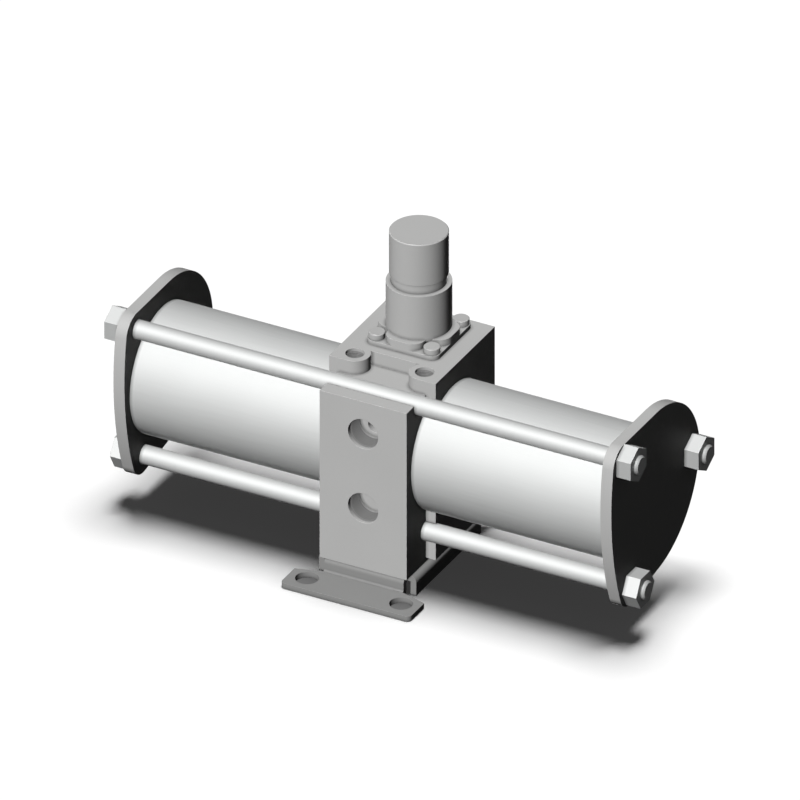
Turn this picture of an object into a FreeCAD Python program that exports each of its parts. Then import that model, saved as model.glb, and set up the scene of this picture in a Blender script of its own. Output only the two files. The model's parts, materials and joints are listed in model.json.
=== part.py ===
"""Air pressure booster: a centre body between two cylinders, with a governor on top and a foot bracket below.

Millimetres. X runs along the cylinders, -Y is the side with the ports and +Z is up. The origin is the middle
of the four foot holes, on the plane that the feet stand on.
"""
import FreeCAD, Part
import math
import os

import Sketcher

Vector = FreeCAD.Vector

# The driving dimensions. Lengths from the middle of the body along X are measured the same way to both sides.
DIMENSIONS = {
    # Cylinders
    "tube_axis_height": 70.0,
    "tube_bore": 63.0,
    "tube_wall": 3.1,
    "cover_inner_face": 134.0,
    "cover_thickness": 6.2,
    "spigot_length": 6.0,
    "spigot_clearance": 0.2,
    "cover_recess_radius": 22.0,
    "cover_recess_depth": 3.0,
    "ring_groove_width": 3.0,
    "ring_groove_depth": 2.0,
    "ring_groove_edge": 1.4,
    "seat_clearance": 0.05,
    # Tie rods, named by where they run
    "tie_rod_diameter": 10.0,
    "tie_rod_hole_clearance": 0.2,
    "tie_rod_front_y": -26.3,
    "tie_rod_front_rise": 35.7,
    "tie_rod_rear_y": 46.3,
    "tie_rod_rear_rise": 3.5,
    "tie_rod_bottom_y": -19.1,
    "tie_rod_bottom_drop": 40.7,
    "tie_rod_stand_out": 1.8,
    "tie_rod_chamfer": 0.8,
    "tie_nut_flats": 17.0,
    "tie_nut_height": 8.0,
    # Outline of the end covers
    "cover_lobe_radius": 11.0,
    "cover_lobe_shift_y": 1.0,
    "cover_upper_shift_z": 1.3,
    "cover_lower_shift_z": 0.9,
    "cover_rear_radius": 8.0,
    "cover_top_radius": 46.3,
    "cover_under_radius": 51.6,
    "cover_front_radius": 157.0,
    "cover_under_slope": 9.0,
    # Centre body
    "block_half_width": 24.5,
    "block_front_y": -39.4,
    "block_top_rise": 37.7,
    "body_bottom_z": 11.0,
    "box_half_width": 30.0,
    "box_front_y": -18.8,
    "box_rear_y": 44.4,
    "box_bottom_step": 2.3,
    "recess_depth": 7.8,
    "recess_rear_y": -5.2,
    "gauge_boss_x": 19.6,
    "gauge_boss_radius": 8.0,
    "gauge_port_radius": 4.85,
    "gauge_port_depth": 12.0,
    "port_radius": 8.5,
    "port_depth": 13.0,
    "in_port_drop": 24.0,
    "out_port_rise": 19.0,
    "exhaust_port_rise": 23.0,
    "gallery_radius": 3.0,
    "port_drill_radius": 4.0,
    "in_drill_drop": 20.0,
    "out_drill_rise": 17.0,
    # Piston rod, its bushes and its seals
    "rod_radius": 8.0,
    "rod_clearance": 0.05,
    "rod_relief": 0.5,
    "bush_wall": 2.0,
    "bush_start": 8.0,
    "bush_length": 15.0,
    "rod_seal_width": 5.6,
    "rod_seal_section": 4.0,
    "seal_clearance": 0.1,
    "retainer_width": 1.4,
    "retainer_section": 5.0,
    # Pistons
    "piston_inner_face": 72.5,
    "piston_thickness": 16.0,
    "piston_web": 8.0,
    "piston_clearance": 0.3,
    "piston_pocket_radius": 14.0,
    "piston_seal_start": 2.0,
    "piston_seal_width": 5.0,
    "piston_seal_section": 4.0,
    "wear_ring_start": 9.5,
    "wear_ring_width": 4.4,
    "wear_ring_section": 1.7,
    "rod_stub_radius": 6.0,
    "piston_nut_flats": 18.0,
    "piston_nut_height": 7.0,
    "rod_chamfer": 0.8,
    # Check valves, in pockets in the ends of the body
    "check_valve_y": -14.0,
    "check_valve_rise": 15.4,
    "check_pocket_depth": 12.0,
    "check_radius": 6.5,
    "check_seat_thickness": 2.5,
    "check_seat_hole": 3.2,
    "cage_wall": 1.1,
    "cage_web": 2.0,
    "cage_flow_hole": 1.1,
    "cage_flow_circle": 3.6,
    "poppet_radius": 4.8,
    "poppet_thickness": 2.0,
    "poppet_stem_radius": 1.5,
    "poppet_stem_length": 6.0,
    "stem_clearance": 0.1,
    "check_spring_radius": 2.6,
    "check_spring_wire": 0.6,
    "check_spring_turns": 3.0,
    # Pilot valves, which the pistons push at the inner ends of their stroke
    "pilot_y": 16.0,
    "pilot_drop": 13.0,
    "pilot_bush_radius": 5.1,
    "pilot_pin_radius": 2.0,
    "pilot_pin_stand_out": 3.0,
    "pilot_collar_radius": 3.6,
    "pilot_collar_width": 1.5,
    "pilot_cavity_radius": 4.2,
    "pilot_cavity_depth": 7.5,
    "pilot_spring_radius": 2.6,
    "pilot_spring_wire": 0.7,
    "pilot_spring_turns": 4.0,
    # Changeover valve, along Y under the cylinders
    "changeover_rise": 16.0,
    "changeover_front_y": -11.0,
    "sleeve_radius": 8.1,
    "sleeve_bore": 4.6,
    "sleeve_length": 45.0,
    "sleeve_groove_depth": 1.2,
    "sleeve_groove_width": 2.4,
    "sleeve_port_radius": 1.6,
    "spool_radius": 4.55,
    "spool_waist": 2.6,
    "spool_land": 5.0,
    "spool_length": 32.0,
    "spool_start": 3.0,
    "spool_ring_depth": 0.9,
    "spool_ring_width": 1.6,
    "plug_radius": 9.1,
    "plug_depth": 8.4,
    "plug_socket_flats": 8.0,
    "plug_socket_depth": 4.5,
    # Bonnet
    "governor_y": 20.3,
    "bonnet_half_width": 20.25,
    "bonnet_corner_radius": 4.5,
    "bonnet_lug_height": 2.4,
    "plinth_height": 6.3,
    "plinth_arm_half_width": 10.5,
    "plinth_arm_corner": 7.0,
    "collar_radius": 16.65,
    "collar_height": 31.5,
    "bonnet_bolt_offset": 15.5,
    "bonnet_bolt_radius": 2.5,
    "bonnet_bolt_head_radius": 4.25,
    "bonnet_bolt_head_height": 3.3,
    "bonnet_bolt_depth": 9.5,
    "bolt_hole_clearance": 0.3,
    "bolt_head_chamfer": 0.3,
    "bonnet_chamber_radius": 12.0,
    "partition_height": 21.5,
    "partition_thickness": 2.5,
    # Diaphragm and governor valve
    "diaphragm_radius": 18.0,
    "diaphragm_thickness": 1.0,
    "diaphragm_clearance": 0.2,
    "control_chamber_radius": 13.0,
    "control_chamber_depth": 3.0,
    "diaphragm_plate_radius": 10.0,
    "diaphragm_plate_thickness": 1.8,
    "spring_boss_radius": 6.5,
    "spring_boss_height": 2.0,
    "governor_bore_radius": 6.2,
    "governor_bore_depth": 27.5,
    "governor_seat_depth": 15.5,
    "governor_seat_thickness": 4.0,
    "governor_seat_hole": 3.5,
    "governor_poppet_radius": 4.8,
    "governor_poppet_height": 3.8,
    "governor_stem_radius": 1.5,
    "governor_tail_length": 4.2,
    "valve_spring_radius": 3.2,
    "valve_spring_wire": 0.8,
    "valve_spring_turns": 4.0,
    # Adjusting screw, nut, main spring and knob
    "main_spring_room": 11.2,
    "adjusting_nut_height": 4.0,
    "adjusting_nut_clearance": 0.4,
    "nut_key_width": 4.0,
    "nut_key_reach": 1.4,
    "key_clearance": 0.15,
    "screw_radius": 4.0,
    "screw_tail": 6.5,
    "screw_flange_radius": 6.0,
    "screw_flange_height": 1.5,
    "screw_hex_flats": 7.0,
    "screw_head_room": 7.0,
    "clip_radius": 6.6,
    "clip_thickness": 1.0,
    "turning_clearance": 0.1,
    "main_spring_radius": 8.8,
    "main_spring_wire": 1.8,
    "main_spring_turns": 4.0,
    "knob_radius": 15.0,
    "knob_height": 23.8,
    "knob_gap": 5.2,
    "knob_neck_radius": 14.0,
    "knob_neck_length": 7.6,
    "knob_wall": 3.0,
    "knob_roof": 4.0,
    "knob_hub_radius": 7.0,
    "knob_hub_rise": 1.4,
    "knob_edge": 0.4,
    "collar_clearance": 0.15,
    # Foot bracket
    "sheet_thickness": 3.2,
    "foot_hole_pitch_x": 53.0,
    "foot_hole_pitch_y": 98.0,
    "foot_hole_radius": 6.0,
    "foot_half_width": 36.5,
    "foot_end_y": 59.0,
    "foot_shoulder_y": 43.5,
    "foot_corner_radius": 2.5,
    "neck_half_width": 22.3,
    "neck_face_y": 38.6,
    "neck_bend_radius": 3.4,
    "neck_root_radius": 1.2,
    "flange_half_width": 27.4,
    "flange_end_y": 34.6,
    "flange_bottom_z": 0.4,
    "flange_bend_radius": 3.4,
    "bracket_bolt_x": 14.0,
    "bracket_bolt_y": 26.0,
    "bracket_bolt_radius": 3.0,
    "bracket_bolt_head_radius": 5.2,
    "bracket_bolt_head_height": 3.0,
    "bracket_bolt_depth": 10.0,
    "bracket_bolt_socket_flats": 4.0,
    "bracket_bolt_socket_depth": 1.8,
}


class Size:
    """A length that knows its value in millimetres and the expression that gives it from the sheet."""

    def __init__(self, value, text):
        self.value = value
        self.text = text

    def __add__(self, other):
        other = as_size(other)
        return Size(self.value + other.value, "(%s + %s)" % (self.text, other.text))

    def __sub__(self, other):
        other = as_size(other)
        return Size(self.value - other.value, "(%s - %s)" % (self.text, other.text))

    def __mul__(self, factor):
        factor = as_size(factor)
        return Size(self.value * factor.value, "(%s * %s)" % (self.text, factor.text))

    def __truediv__(self, divisor):
        return Size(self.value / divisor, "(%s / %r)" % (self.text, float(divisor)))

    def __neg__(self):
        return Size(-self.value, "(0 - %s)" % self.text)

    def __radd__(self, other):
        return as_size(other) + self

    def __rmul__(self, factor):
        return self * factor


def as_size(number):
    if isinstance(number, Size):
        return number
    return Size(float(number), repr(float(number)))


class SizeSheet:
    """The driving dimensions by name, each as a Size bound to its cell."""

    def __getattr__(self, name):
        return Size(DIMENSIONS[name], "Sizes." + name)


d = SizeSheet()
doc = FreeCAD.newDocument("AirPressureBooster")


def fill_sheet():
    sheet = doc.addObject("Spreadsheet::Sheet", "Sizes")
    for row, (name, value) in enumerate(DIMENSIONS.items(), start=1):
        sheet.set("A%d" % row, name)
        sheet.set("B%d" % row, str(value))
        sheet.setAlias("B%d" % row, name)
    doc.recompute()


# Helpers for the features of a body. Side is 1 for the right-hand end (+X) and -1 for the left.

RIGHT = 1
LEFT = -1
SIDES = {"right": RIGHT, "left": LEFT}


def bind(thing, prop, size):
    thing.setExpression(prop, as_size(size).text)


def new_body(label, x=0, y=0, z=0):
    body = doc.addObject("PartDesign::Body", label)
    body.Label = label
    place(body, x, y, z)
    return body


def place(thing, x=0, y=0, z=0):
    for axis, value in (("x", x), ("y", y), ("z", z)):
        bind(thing, "Placement.Base." + axis, value)


def origin_feature(body, role):
    return next(item for item in body.Origin.OriginFeatures if item.Role == role)


def new_sketch(body, plane, offset=0):
    """A sketch on one of the body's origin planes, moved along the axis that the plane faces."""
    sketch = body.newObject("Sketcher::SketchObject", "Sketch")
    sketch.AttachmentSupport = [(origin_feature(body, plane + "_Plane"), "")]
    sketch.MapMode = "FlatFace"
    offset = as_size(offset)
    if plane == "XZ":
        offset = -offset
    bind(sketch, "AttachmentOffset.Base.z", offset)
    return sketch


def pin_point(sketch, geometry, end, x, y):
    """Hold one point of a sketch at x, y from the sketch's origin."""
    for kind, value, axis in (("DistanceX", as_size(x), -2), ("DistanceY", as_size(y), -1)):
        if value.value == 0 and "Sizes" not in value.text:
            sketch.addConstraint(Sketcher.Constraint("PointOnObject", geometry, end, axis))
        else:
            index = sketch.addConstraint(Sketcher.Constraint(kind, -1, 1, geometry, end, value.value))
            bind(sketch, "Constraints[%d]" % index, value)


def draw_outline(sketch, points):
    """A closed run of straight lines through the points."""
    first = sketch.GeometryCount
    points = [(as_size(x), as_size(y)) for x, y in points]
    count = len(points)
    for index in range(count):
        start, end = (Vector(x.value, y.value, 0) for x, y in (points[index], points[(index + 1) % count]))
        sketch.addGeometry(Part.LineSegment(start, end), False)
    for index in range(count):
        following = first + (index + 1) % count
        sketch.addConstraint(Sketcher.Constraint("Coincident", first + index, 2, following, 1))
    for index, (x, y) in enumerate(points):
        pin_point(sketch, first + index, 1, x, y)


def draw_rectangle(sketch, x_low, x_high, y_low, y_high):
    draw_outline(sketch, [(x_low, y_low), (x_high, y_low), (x_high, y_high), (x_low, y_high)])


def draw_circle(sketch, x, y, radius):
    radius = as_size(radius)
    centre = Vector(as_size(x).value, as_size(y).value, 0)
    index = sketch.addGeometry(Part.Circle(centre, Vector(0, 0, 1), radius.value), False)
    held = sketch.addConstraint(Sketcher.Constraint("Radius", index, radius.value))
    bind(sketch, "Constraints[%d]" % held, radius)
    pin_point(sketch, index, 3, x, y)


def draw_hexagon(sketch, x, y, flats, flat_on_top=True):
    """A hexagon given by its size across flats; flat_on_top lays two of the flats level."""
    corner = flats / math.sqrt(3)
    first_angle = 0 if flat_on_top else 30
    points = []
    for step in range(6):
        angle = math.radians(first_angle + 60 * step)
        points.append((x + corner * round(math.cos(angle), 12), y + corner * round(math.sin(angle), 12)))
    draw_outline(sketch, points)


def is_reversed(sketch_plane, towards, cuts):
    """Whether a pad or pocket has to be turned round to run towards +1 or -1 along its axis."""
    along_normal = towards * (-1 if sketch_plane == "XZ" else 1)
    return along_normal == (1 if cuts else -1)


def extrude(body, kind, sketch, plane, length, towards):
    feature = body.newObject("PartDesign::" + kind, kind)
    feature.Profile = sketch
    bind(feature, "Length", length)
    if towards == 0:
        feature.SideType = "Symmetric"
    else:
        feature.Reversed = is_reversed(plane, towards, kind == "Pocket")
    return feature


def pad(body, sketch, plane, length, towards=0):
    return extrude(body, "Pad", sketch, plane, length, towards)


def pocket(body, sketch, plane, length, towards=0):
    return extrude(body, "Pocket", sketch, plane, length, towards)


def drill(body, plane, start, centre, radius, depth, towards=0):
    """A round hole from start, along the axis that the plane faces."""
    sketch = new_sketch(body, plane, start)
    draw_circle(sketch, centre[0], centre[1], radius)
    return pocket(body, sketch, plane, depth, towards)


def turn(body, kind, axis, points):
    """Revolve points (distance along the axis, radius) round an axis of the body, to add or to cut."""
    plane = "YZ" if axis == "Y" else "XZ"
    if axis == "Z":
        points = [(radius, along) for along, radius in points]
    sketch = new_sketch(body, plane)
    draw_outline(sketch, points)
    feature = body.newObject("PartDesign::" + kind, kind)
    feature.Profile = sketch
    feature.ReferenceAxis = (sketch, ["V_Axis" if axis == "Z" else "H_Axis"])
    feature.Angle = 360
    return feature


def turned(label, axis, points, x=0, y=0, z=0):
    body = new_body(label, x, y, z)
    turn(body, "Revolution", axis, points)
    return body


def ring(label, axis, start, end, inner, outer, x=0, y=0, z=0):
    """A plain ring of rectangular section."""
    return turned(label, axis, [(start, inner), (end, inner), (end, outer), (start, outer)], x, y, z)


def edges_where(feature, test):
    doc.recompute()
    return ["Edge%d" % (index + 1) for index, edge in enumerate(feature.Shape.Edges) if test(edge)]


def dress(body, kind, prop, feature, size, test):
    """A fillet or chamfer on the edges of the feature that pass the test."""
    names = edges_where(feature, test)
    if not names:
        raise ValueError("no edge found for a %s on %s" % (kind, body.Label))
    dressed = body.newObject("PartDesign::" + kind, kind)
    dressed.Base = (feature, names)
    bind(dressed, prop, size)
    return dressed


def is_upright_at(places):
    """A test for straight upright edges at any of the places (x, y)."""
    def test(edge):
        start, end = edge.Vertexes[0].Point, edge.Vertexes[-1].Point
        if abs(start.x - end.x) > 1e-6 or abs(start.y - end.y) > 1e-6:
            return False
        return any(abs(start.x - x) < 1e-3 and abs(start.y - y) < 1e-3 for x, y in places)
    return test


def is_along_x_at(places):
    """A test for straight edges along X at any of the places (y, z)."""
    def test(edge):
        start, end = edge.Vertexes[0].Point, edge.Vertexes[-1].Point
        if abs(start.y - end.y) > 1e-6 or abs(start.z - end.z) > 1e-6:
            return False
        return any(abs(start.y - y) < 1e-3 and abs(start.z - z) < 1e-3 for y, z in places)
    return test


def is_along_y_at(places):
    """A test for straight edges along Y at any of the places (x, z)."""
    def test(edge):
        start, end = edge.Vertexes[0].Point, edge.Vertexes[-1].Point
        if abs(start.x - end.x) > 1e-6 or abs(start.z - end.z) > 1e-6:
            return False
        return any(abs(start.x - x) < 1e-3 and abs(start.z - z) < 1e-3 for x, z in places)
    return test


def group(label, members):
    """Like pieces under one name, each still a solid of its own."""
    compound = doc.addObject("Part::Compound", label)
    compound.Label = label
    compound.Links = members
    return compound


def coil_spring(label, axis, start, end, radius, wire, turns, x=0, y=0, z=0):
    """A spring between two seats, wound round an axis: eight-sided wire swept along a helix."""
    if start.value > end.value:
        start, end = end, start
    height = end - start - wire
    helix = doc.addObject("Part::Helix", label + "_helix")
    bind(helix, "Radius", radius)
    bind(helix, "Height", height)
    bind(helix, "Pitch", height / turns.value)
    section = doc.addObject("Part::RegularPolygon", label + "_wire")
    section.Polygon = 8
    section.Placement.Rotation = FreeCAD.Rotation(Vector(1, 0, 0), 90)
    bind(section, "Circumradius", wire / 2)
    bind(section, "Placement.Base.x", radius)
    coil = doc.addObject("Part::Sweep", label)
    coil.Label = label
    coil.Sections = [section]
    coil.Spine = (helix, [])
    coil.Solid = True
    coil.Frenet = True
    seat = start + wire / 2
    if axis == "X":
        coil.Placement.Rotation = FreeCAD.Rotation(Vector(0, 1, 0), 90)
        place(coil, seat, y, z)
    else:
        place(coil, x, y, seat)
    return coil


# Values that several pieces share.

tube_inner = d.tube_bore / 2
tube_outer = tube_inner + d.tube_wall
spigot_radius = tube_inner - d.spigot_clearance
body_end = d.block_half_width + d.spigot_length
cover_outer_face = d.cover_inner_face + d.cover_thickness
tie_rod_end = cover_outer_face + d.tie_nut_height + d.tie_rod_stand_out
tie_rod_radius = d.tie_rod_diameter / 2
tie_rod_hole = tie_rod_radius + d.tie_rod_hole_clearance
TIE_RODS = {
    "front": (d.tie_rod_front_y, d.tube_axis_height + d.tie_rod_front_rise),
    "rear": (d.tie_rod_rear_y, d.tube_axis_height + d.tie_rod_rear_rise),
    "bottom": (d.tie_rod_bottom_y, d.tube_axis_height - d.tie_rod_bottom_drop),
}
LOWER, UPPER = -1, 1
CHECK_VALVES = {"inlet": LOWER, "outlet": UPPER}
check_pocket_radius = d.check_radius + d.seat_clearance
gauge_boss_y = d.box_front_y + d.gauge_boss_radius
block_top = d.tube_axis_height + d.block_top_rise
box_top = block_top + d.recess_depth
box_bottom = d.body_bottom_z + d.box_bottom_step
pilot_level = d.tube_axis_height - d.pilot_drop
changeover_level = d.body_bottom_z + d.changeover_rise
exhaust_level = changeover_level + d.exhaust_port_rise
governor_seat_level = box_top - d.governor_seat_depth
partition_bottom = box_top + d.partition_height
partition_top = partition_bottom + d.partition_thickness
collar_top = box_top + d.collar_height
main_spring_seat = box_top + d.diaphragm_plate_thickness
adjusting_nut_bottom = main_spring_seat + d.main_spring_room
knob_bottom = collar_top + d.knob_gap
knob_top = knob_bottom + d.knob_height
knob_roof_under = knob_top - d.knob_roof
knob_neck_bottom = knob_bottom - d.knob_neck_length
piston_outer_face = d.piston_inner_face + d.piston_thickness
piston_radius = tube_inner - d.piston_clearance
piston_seal_radius = tube_inner - d.seal_clearance
BONNET_BOLTS = [(east, north) for east in (-1, 1) for north in (-1, 1)]


def above_axis(height):
    """A height over the feet, counted from the cylinders' axis."""
    return height - d.tube_axis_height


# Centre body


def spigot_profile(root, tip):
    """The round nose that a tube slides over, from root to tip, with the groove for a sealing ring."""
    towards = 1 if tip.value > root.value else -1
    groove_root = spigot_radius - d.ring_groove_depth
    near = tip - d.ring_groove_edge * towards
    far = near - d.ring_groove_width * towards
    return [
        (root, 0), (tip, 0), (tip, spigot_radius), (near, spigot_radius), (near, groove_root),
        (far, groove_root), (far, spigot_radius), (root, spigot_radius),
    ]


def make_center_body():
    body = new_body("center_body", z=d.tube_axis_height)
    front = new_sketch(body, "YZ")
    draw_rectangle(front, d.block_front_y, d.box_rear_y, above_axis(d.body_bottom_z), d.block_top_rise)
    pad(body, front, "YZ", d.block_half_width * 2)
    box = new_sketch(body, "YZ")
    draw_rectangle(box, d.box_front_y, d.box_rear_y, above_axis(box_bottom), above_axis(box_top))
    pad(body, box, "YZ", d.box_half_width * 2)
    cut_tie_rod_ways(body)
    cut_recess(body)
    cut_ports(body)
    cut_governor_bores(body)
    cut_changeover_bore(body)
    cut_cylinder_ends(body)
    return body


def cut_tie_rod_ways(body):
    """An open slot for the front tie rod, a hole for the bottom one and a groove for the rear one."""
    whole = d.box_half_width * 2 + 2
    for y, z in TIE_RODS.values():
        drill(body, "YZ", 0, (y, above_axis(z)), tie_rod_hole, whole)
    slot = new_sketch(body, "YZ")
    middle = d.tie_rod_front_y
    top = d.block_top_rise + 1
    draw_rectangle(slot, middle - tie_rod_hole, middle + tie_rod_hole, d.tie_rod_front_rise, top)
    pocket(body, slot, "YZ", whole)


def cut_recess(body):
    """The step in the top edge, which leaves a round boss at each corner for a gauge port."""
    top = above_axis(box_top)
    depth = d.recess_depth
    recess = new_sketch(body, "XY", top)
    draw_rectangle(recess, -d.gauge_boss_x, d.gauge_boss_x, d.box_front_y - 1, d.recess_rear_y)
    pocket(body, recess, "XY", depth, -1)
    bosses = new_sketch(body, "XY", top)
    for side in (LEFT, RIGHT):
        draw_circle(bosses, d.gauge_boss_x * side, gauge_boss_y, d.gauge_boss_radius)
    pad(body, bosses, "XY", depth, -1)
    for side in (LEFT, RIGHT):
        centre = (d.gauge_boss_x * side, gauge_boss_y)
        drill(body, "XY", top, centre, d.gauge_port_radius, d.gauge_port_depth, -1)


def cut_ports(body):
    """The inlet and outlet in front, the exhaust behind, and the drillings that lead on from them."""
    drill_depth = d.check_valve_y - d.block_front_y
    for port, drilling in ((-d.in_port_drop, -d.in_drill_drop), (d.out_port_rise, d.out_drill_rise)):
        drill(body, "XZ", d.block_front_y, (0, port), d.port_radius, d.port_depth, 1)
        drill(body, "XZ", d.block_front_y, (0, drilling), d.port_drill_radius, drill_depth, 1)
    for level in CHECK_VALVES.values():
        length = (body_end - d.check_pocket_depth) * 2 + 1
        drill(body, "YZ", 0, (d.check_valve_y, d.check_valve_rise * level), d.gallery_radius, length)
    drill(body, "XZ", d.box_rear_y, (0, above_axis(exhaust_level)), d.port_radius, d.port_depth, -1)
    exhaust_y = d.box_rear_y - d.plug_depth - d.gallery_radius - 1
    level = above_axis(changeover_level)
    drill(body, "XY", level, (0, exhaust_y), d.gallery_radius, d.exhaust_port_rise, 1)


def cut_governor_bores(body):
    """The diaphragm's seat, the control chamber, the valve's bore and the tapped holes for the bonnet."""
    top = above_axis(box_top)
    centre = (0, d.governor_y)
    drill(body, "XY", top, centre, d.diaphragm_radius + d.diaphragm_clearance, d.diaphragm_thickness, -1)
    depth = d.diaphragm_thickness + d.control_chamber_depth
    drill(body, "XY", top, centre, d.control_chamber_radius, depth, -1)
    drill(body, "XY", top, centre, d.governor_bore_radius, d.governor_bore_depth, -1)
    depth = d.bonnet_bolt_depth + 1
    for east, north in BONNET_BOLTS:
        place_of_bolt = (d.bonnet_bolt_offset * east, d.governor_y + d.bonnet_bolt_offset * north)
        drill(body, "XY", top, place_of_bolt, d.bonnet_bolt_radius + d.seat_clearance, depth, -1)
    for east, north in BONNET_BOLTS:
        place_of_bolt = (d.bracket_bolt_x * east, d.bracket_bolt_y * north)
        depth = d.bracket_bolt_depth + 1
        radius = d.bracket_bolt_radius + d.seat_clearance
        drill(body, "XY", above_axis(d.body_bottom_z), place_of_bolt, radius, depth, 1)


def cut_changeover_bore(body):
    level = above_axis(changeover_level)
    depth = d.box_rear_y - d.changeover_front_y
    drill(body, "XZ", d.box_rear_y, (0, level), d.sleeve_radius + d.seat_clearance, depth, -1)
    drill(body, "XZ", d.box_rear_y, (0, level), d.plug_radius + d.seat_clearance, d.plug_depth, -1)


def cut_cylinder_ends(body):
    """Both ends alike: the tube's seat and spigot, the rod's bore, the check valves and the pilot valve."""
    beyond = d.box_half_width + 1
    seat_radius = tube_outer + d.spigot_clearance
    seat = [(d.block_half_width, 0), (beyond, 0), (beyond, seat_radius), (d.block_half_width, seat_radius)]
    features = [turn(body, "Groove", "X", seat)]
    root = d.block_half_width - 1
    features.append(turn(body, "Revolution", "X", spigot_profile(root, body_end)))
    bush_bore = d.rod_radius + d.bush_wall
    seal_bore = d.rod_radius + d.rod_seal_section
    retainer_bore = d.rod_radius + d.retainer_section
    seal_start = d.bush_start + d.bush_length
    retainer_start = body_end - d.retainer_width
    relief = d.rod_radius + d.rod_relief
    rod_way = [
        (0, 0), (body_end + 1, 0), (body_end + 1, retainer_bore), (retainer_start, retainer_bore),
        (retainer_start, seal_bore), (seal_start, seal_bore), (seal_start, bush_bore),
        (d.bush_start, bush_bore), (d.bush_start, relief), (0, relief),
    ]
    features.append(turn(body, "Groove", "X", rod_way))
    for level in CHECK_VALVES.values():
        centre = (d.check_valve_y, d.check_valve_rise * level)
        features.append(drill(body, "YZ", body_end, centre, check_pocket_radius, d.check_pocket_depth, -1))
    centre = (d.pilot_y, -d.pilot_drop)
    bush_radius = d.pilot_bush_radius + d.seat_clearance
    features.append(drill(body, "YZ", body_end, centre, bush_radius, d.spigot_length, -1))
    cavity = drill(body, "YZ", d.block_half_width, centre, d.pilot_cavity_radius, d.pilot_cavity_depth, -1)
    features.append(cavity)
    mirrored = body.newObject("PartDesign::Mirrored", "BothEnds")
    mirrored.Originals = features
    mirrored.MirrorPlane = (origin_feature(body, "YZ_Plane"), [""])
    body.Tip = mirrored


# Tubes, end covers and tie rods


def make_tube(name, side):
    start = d.block_half_width * side
    end = d.cover_inner_face * side
    return ring("tube_" + name, "X", start, end, tube_inner, tube_outer, z=d.tube_axis_height)


def direction(degrees):
    return Vector(math.cos(math.radians(degrees)), math.sin(math.radians(degrees)), 0)


def arc_between(centre, radius, start, end):
    """The arc round centre, anticlockwise from the point start to the point end."""
    angles = [math.atan2(point.y - centre.y, point.x - centre.x) for point in (start, end)]
    if angles[1] < angles[0]:
        angles[1] += 2 * math.pi
    return Part.ArcOfCircle(Part.Circle(centre, Vector(0, 0, 1), radius), angles[0], angles[1])


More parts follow.
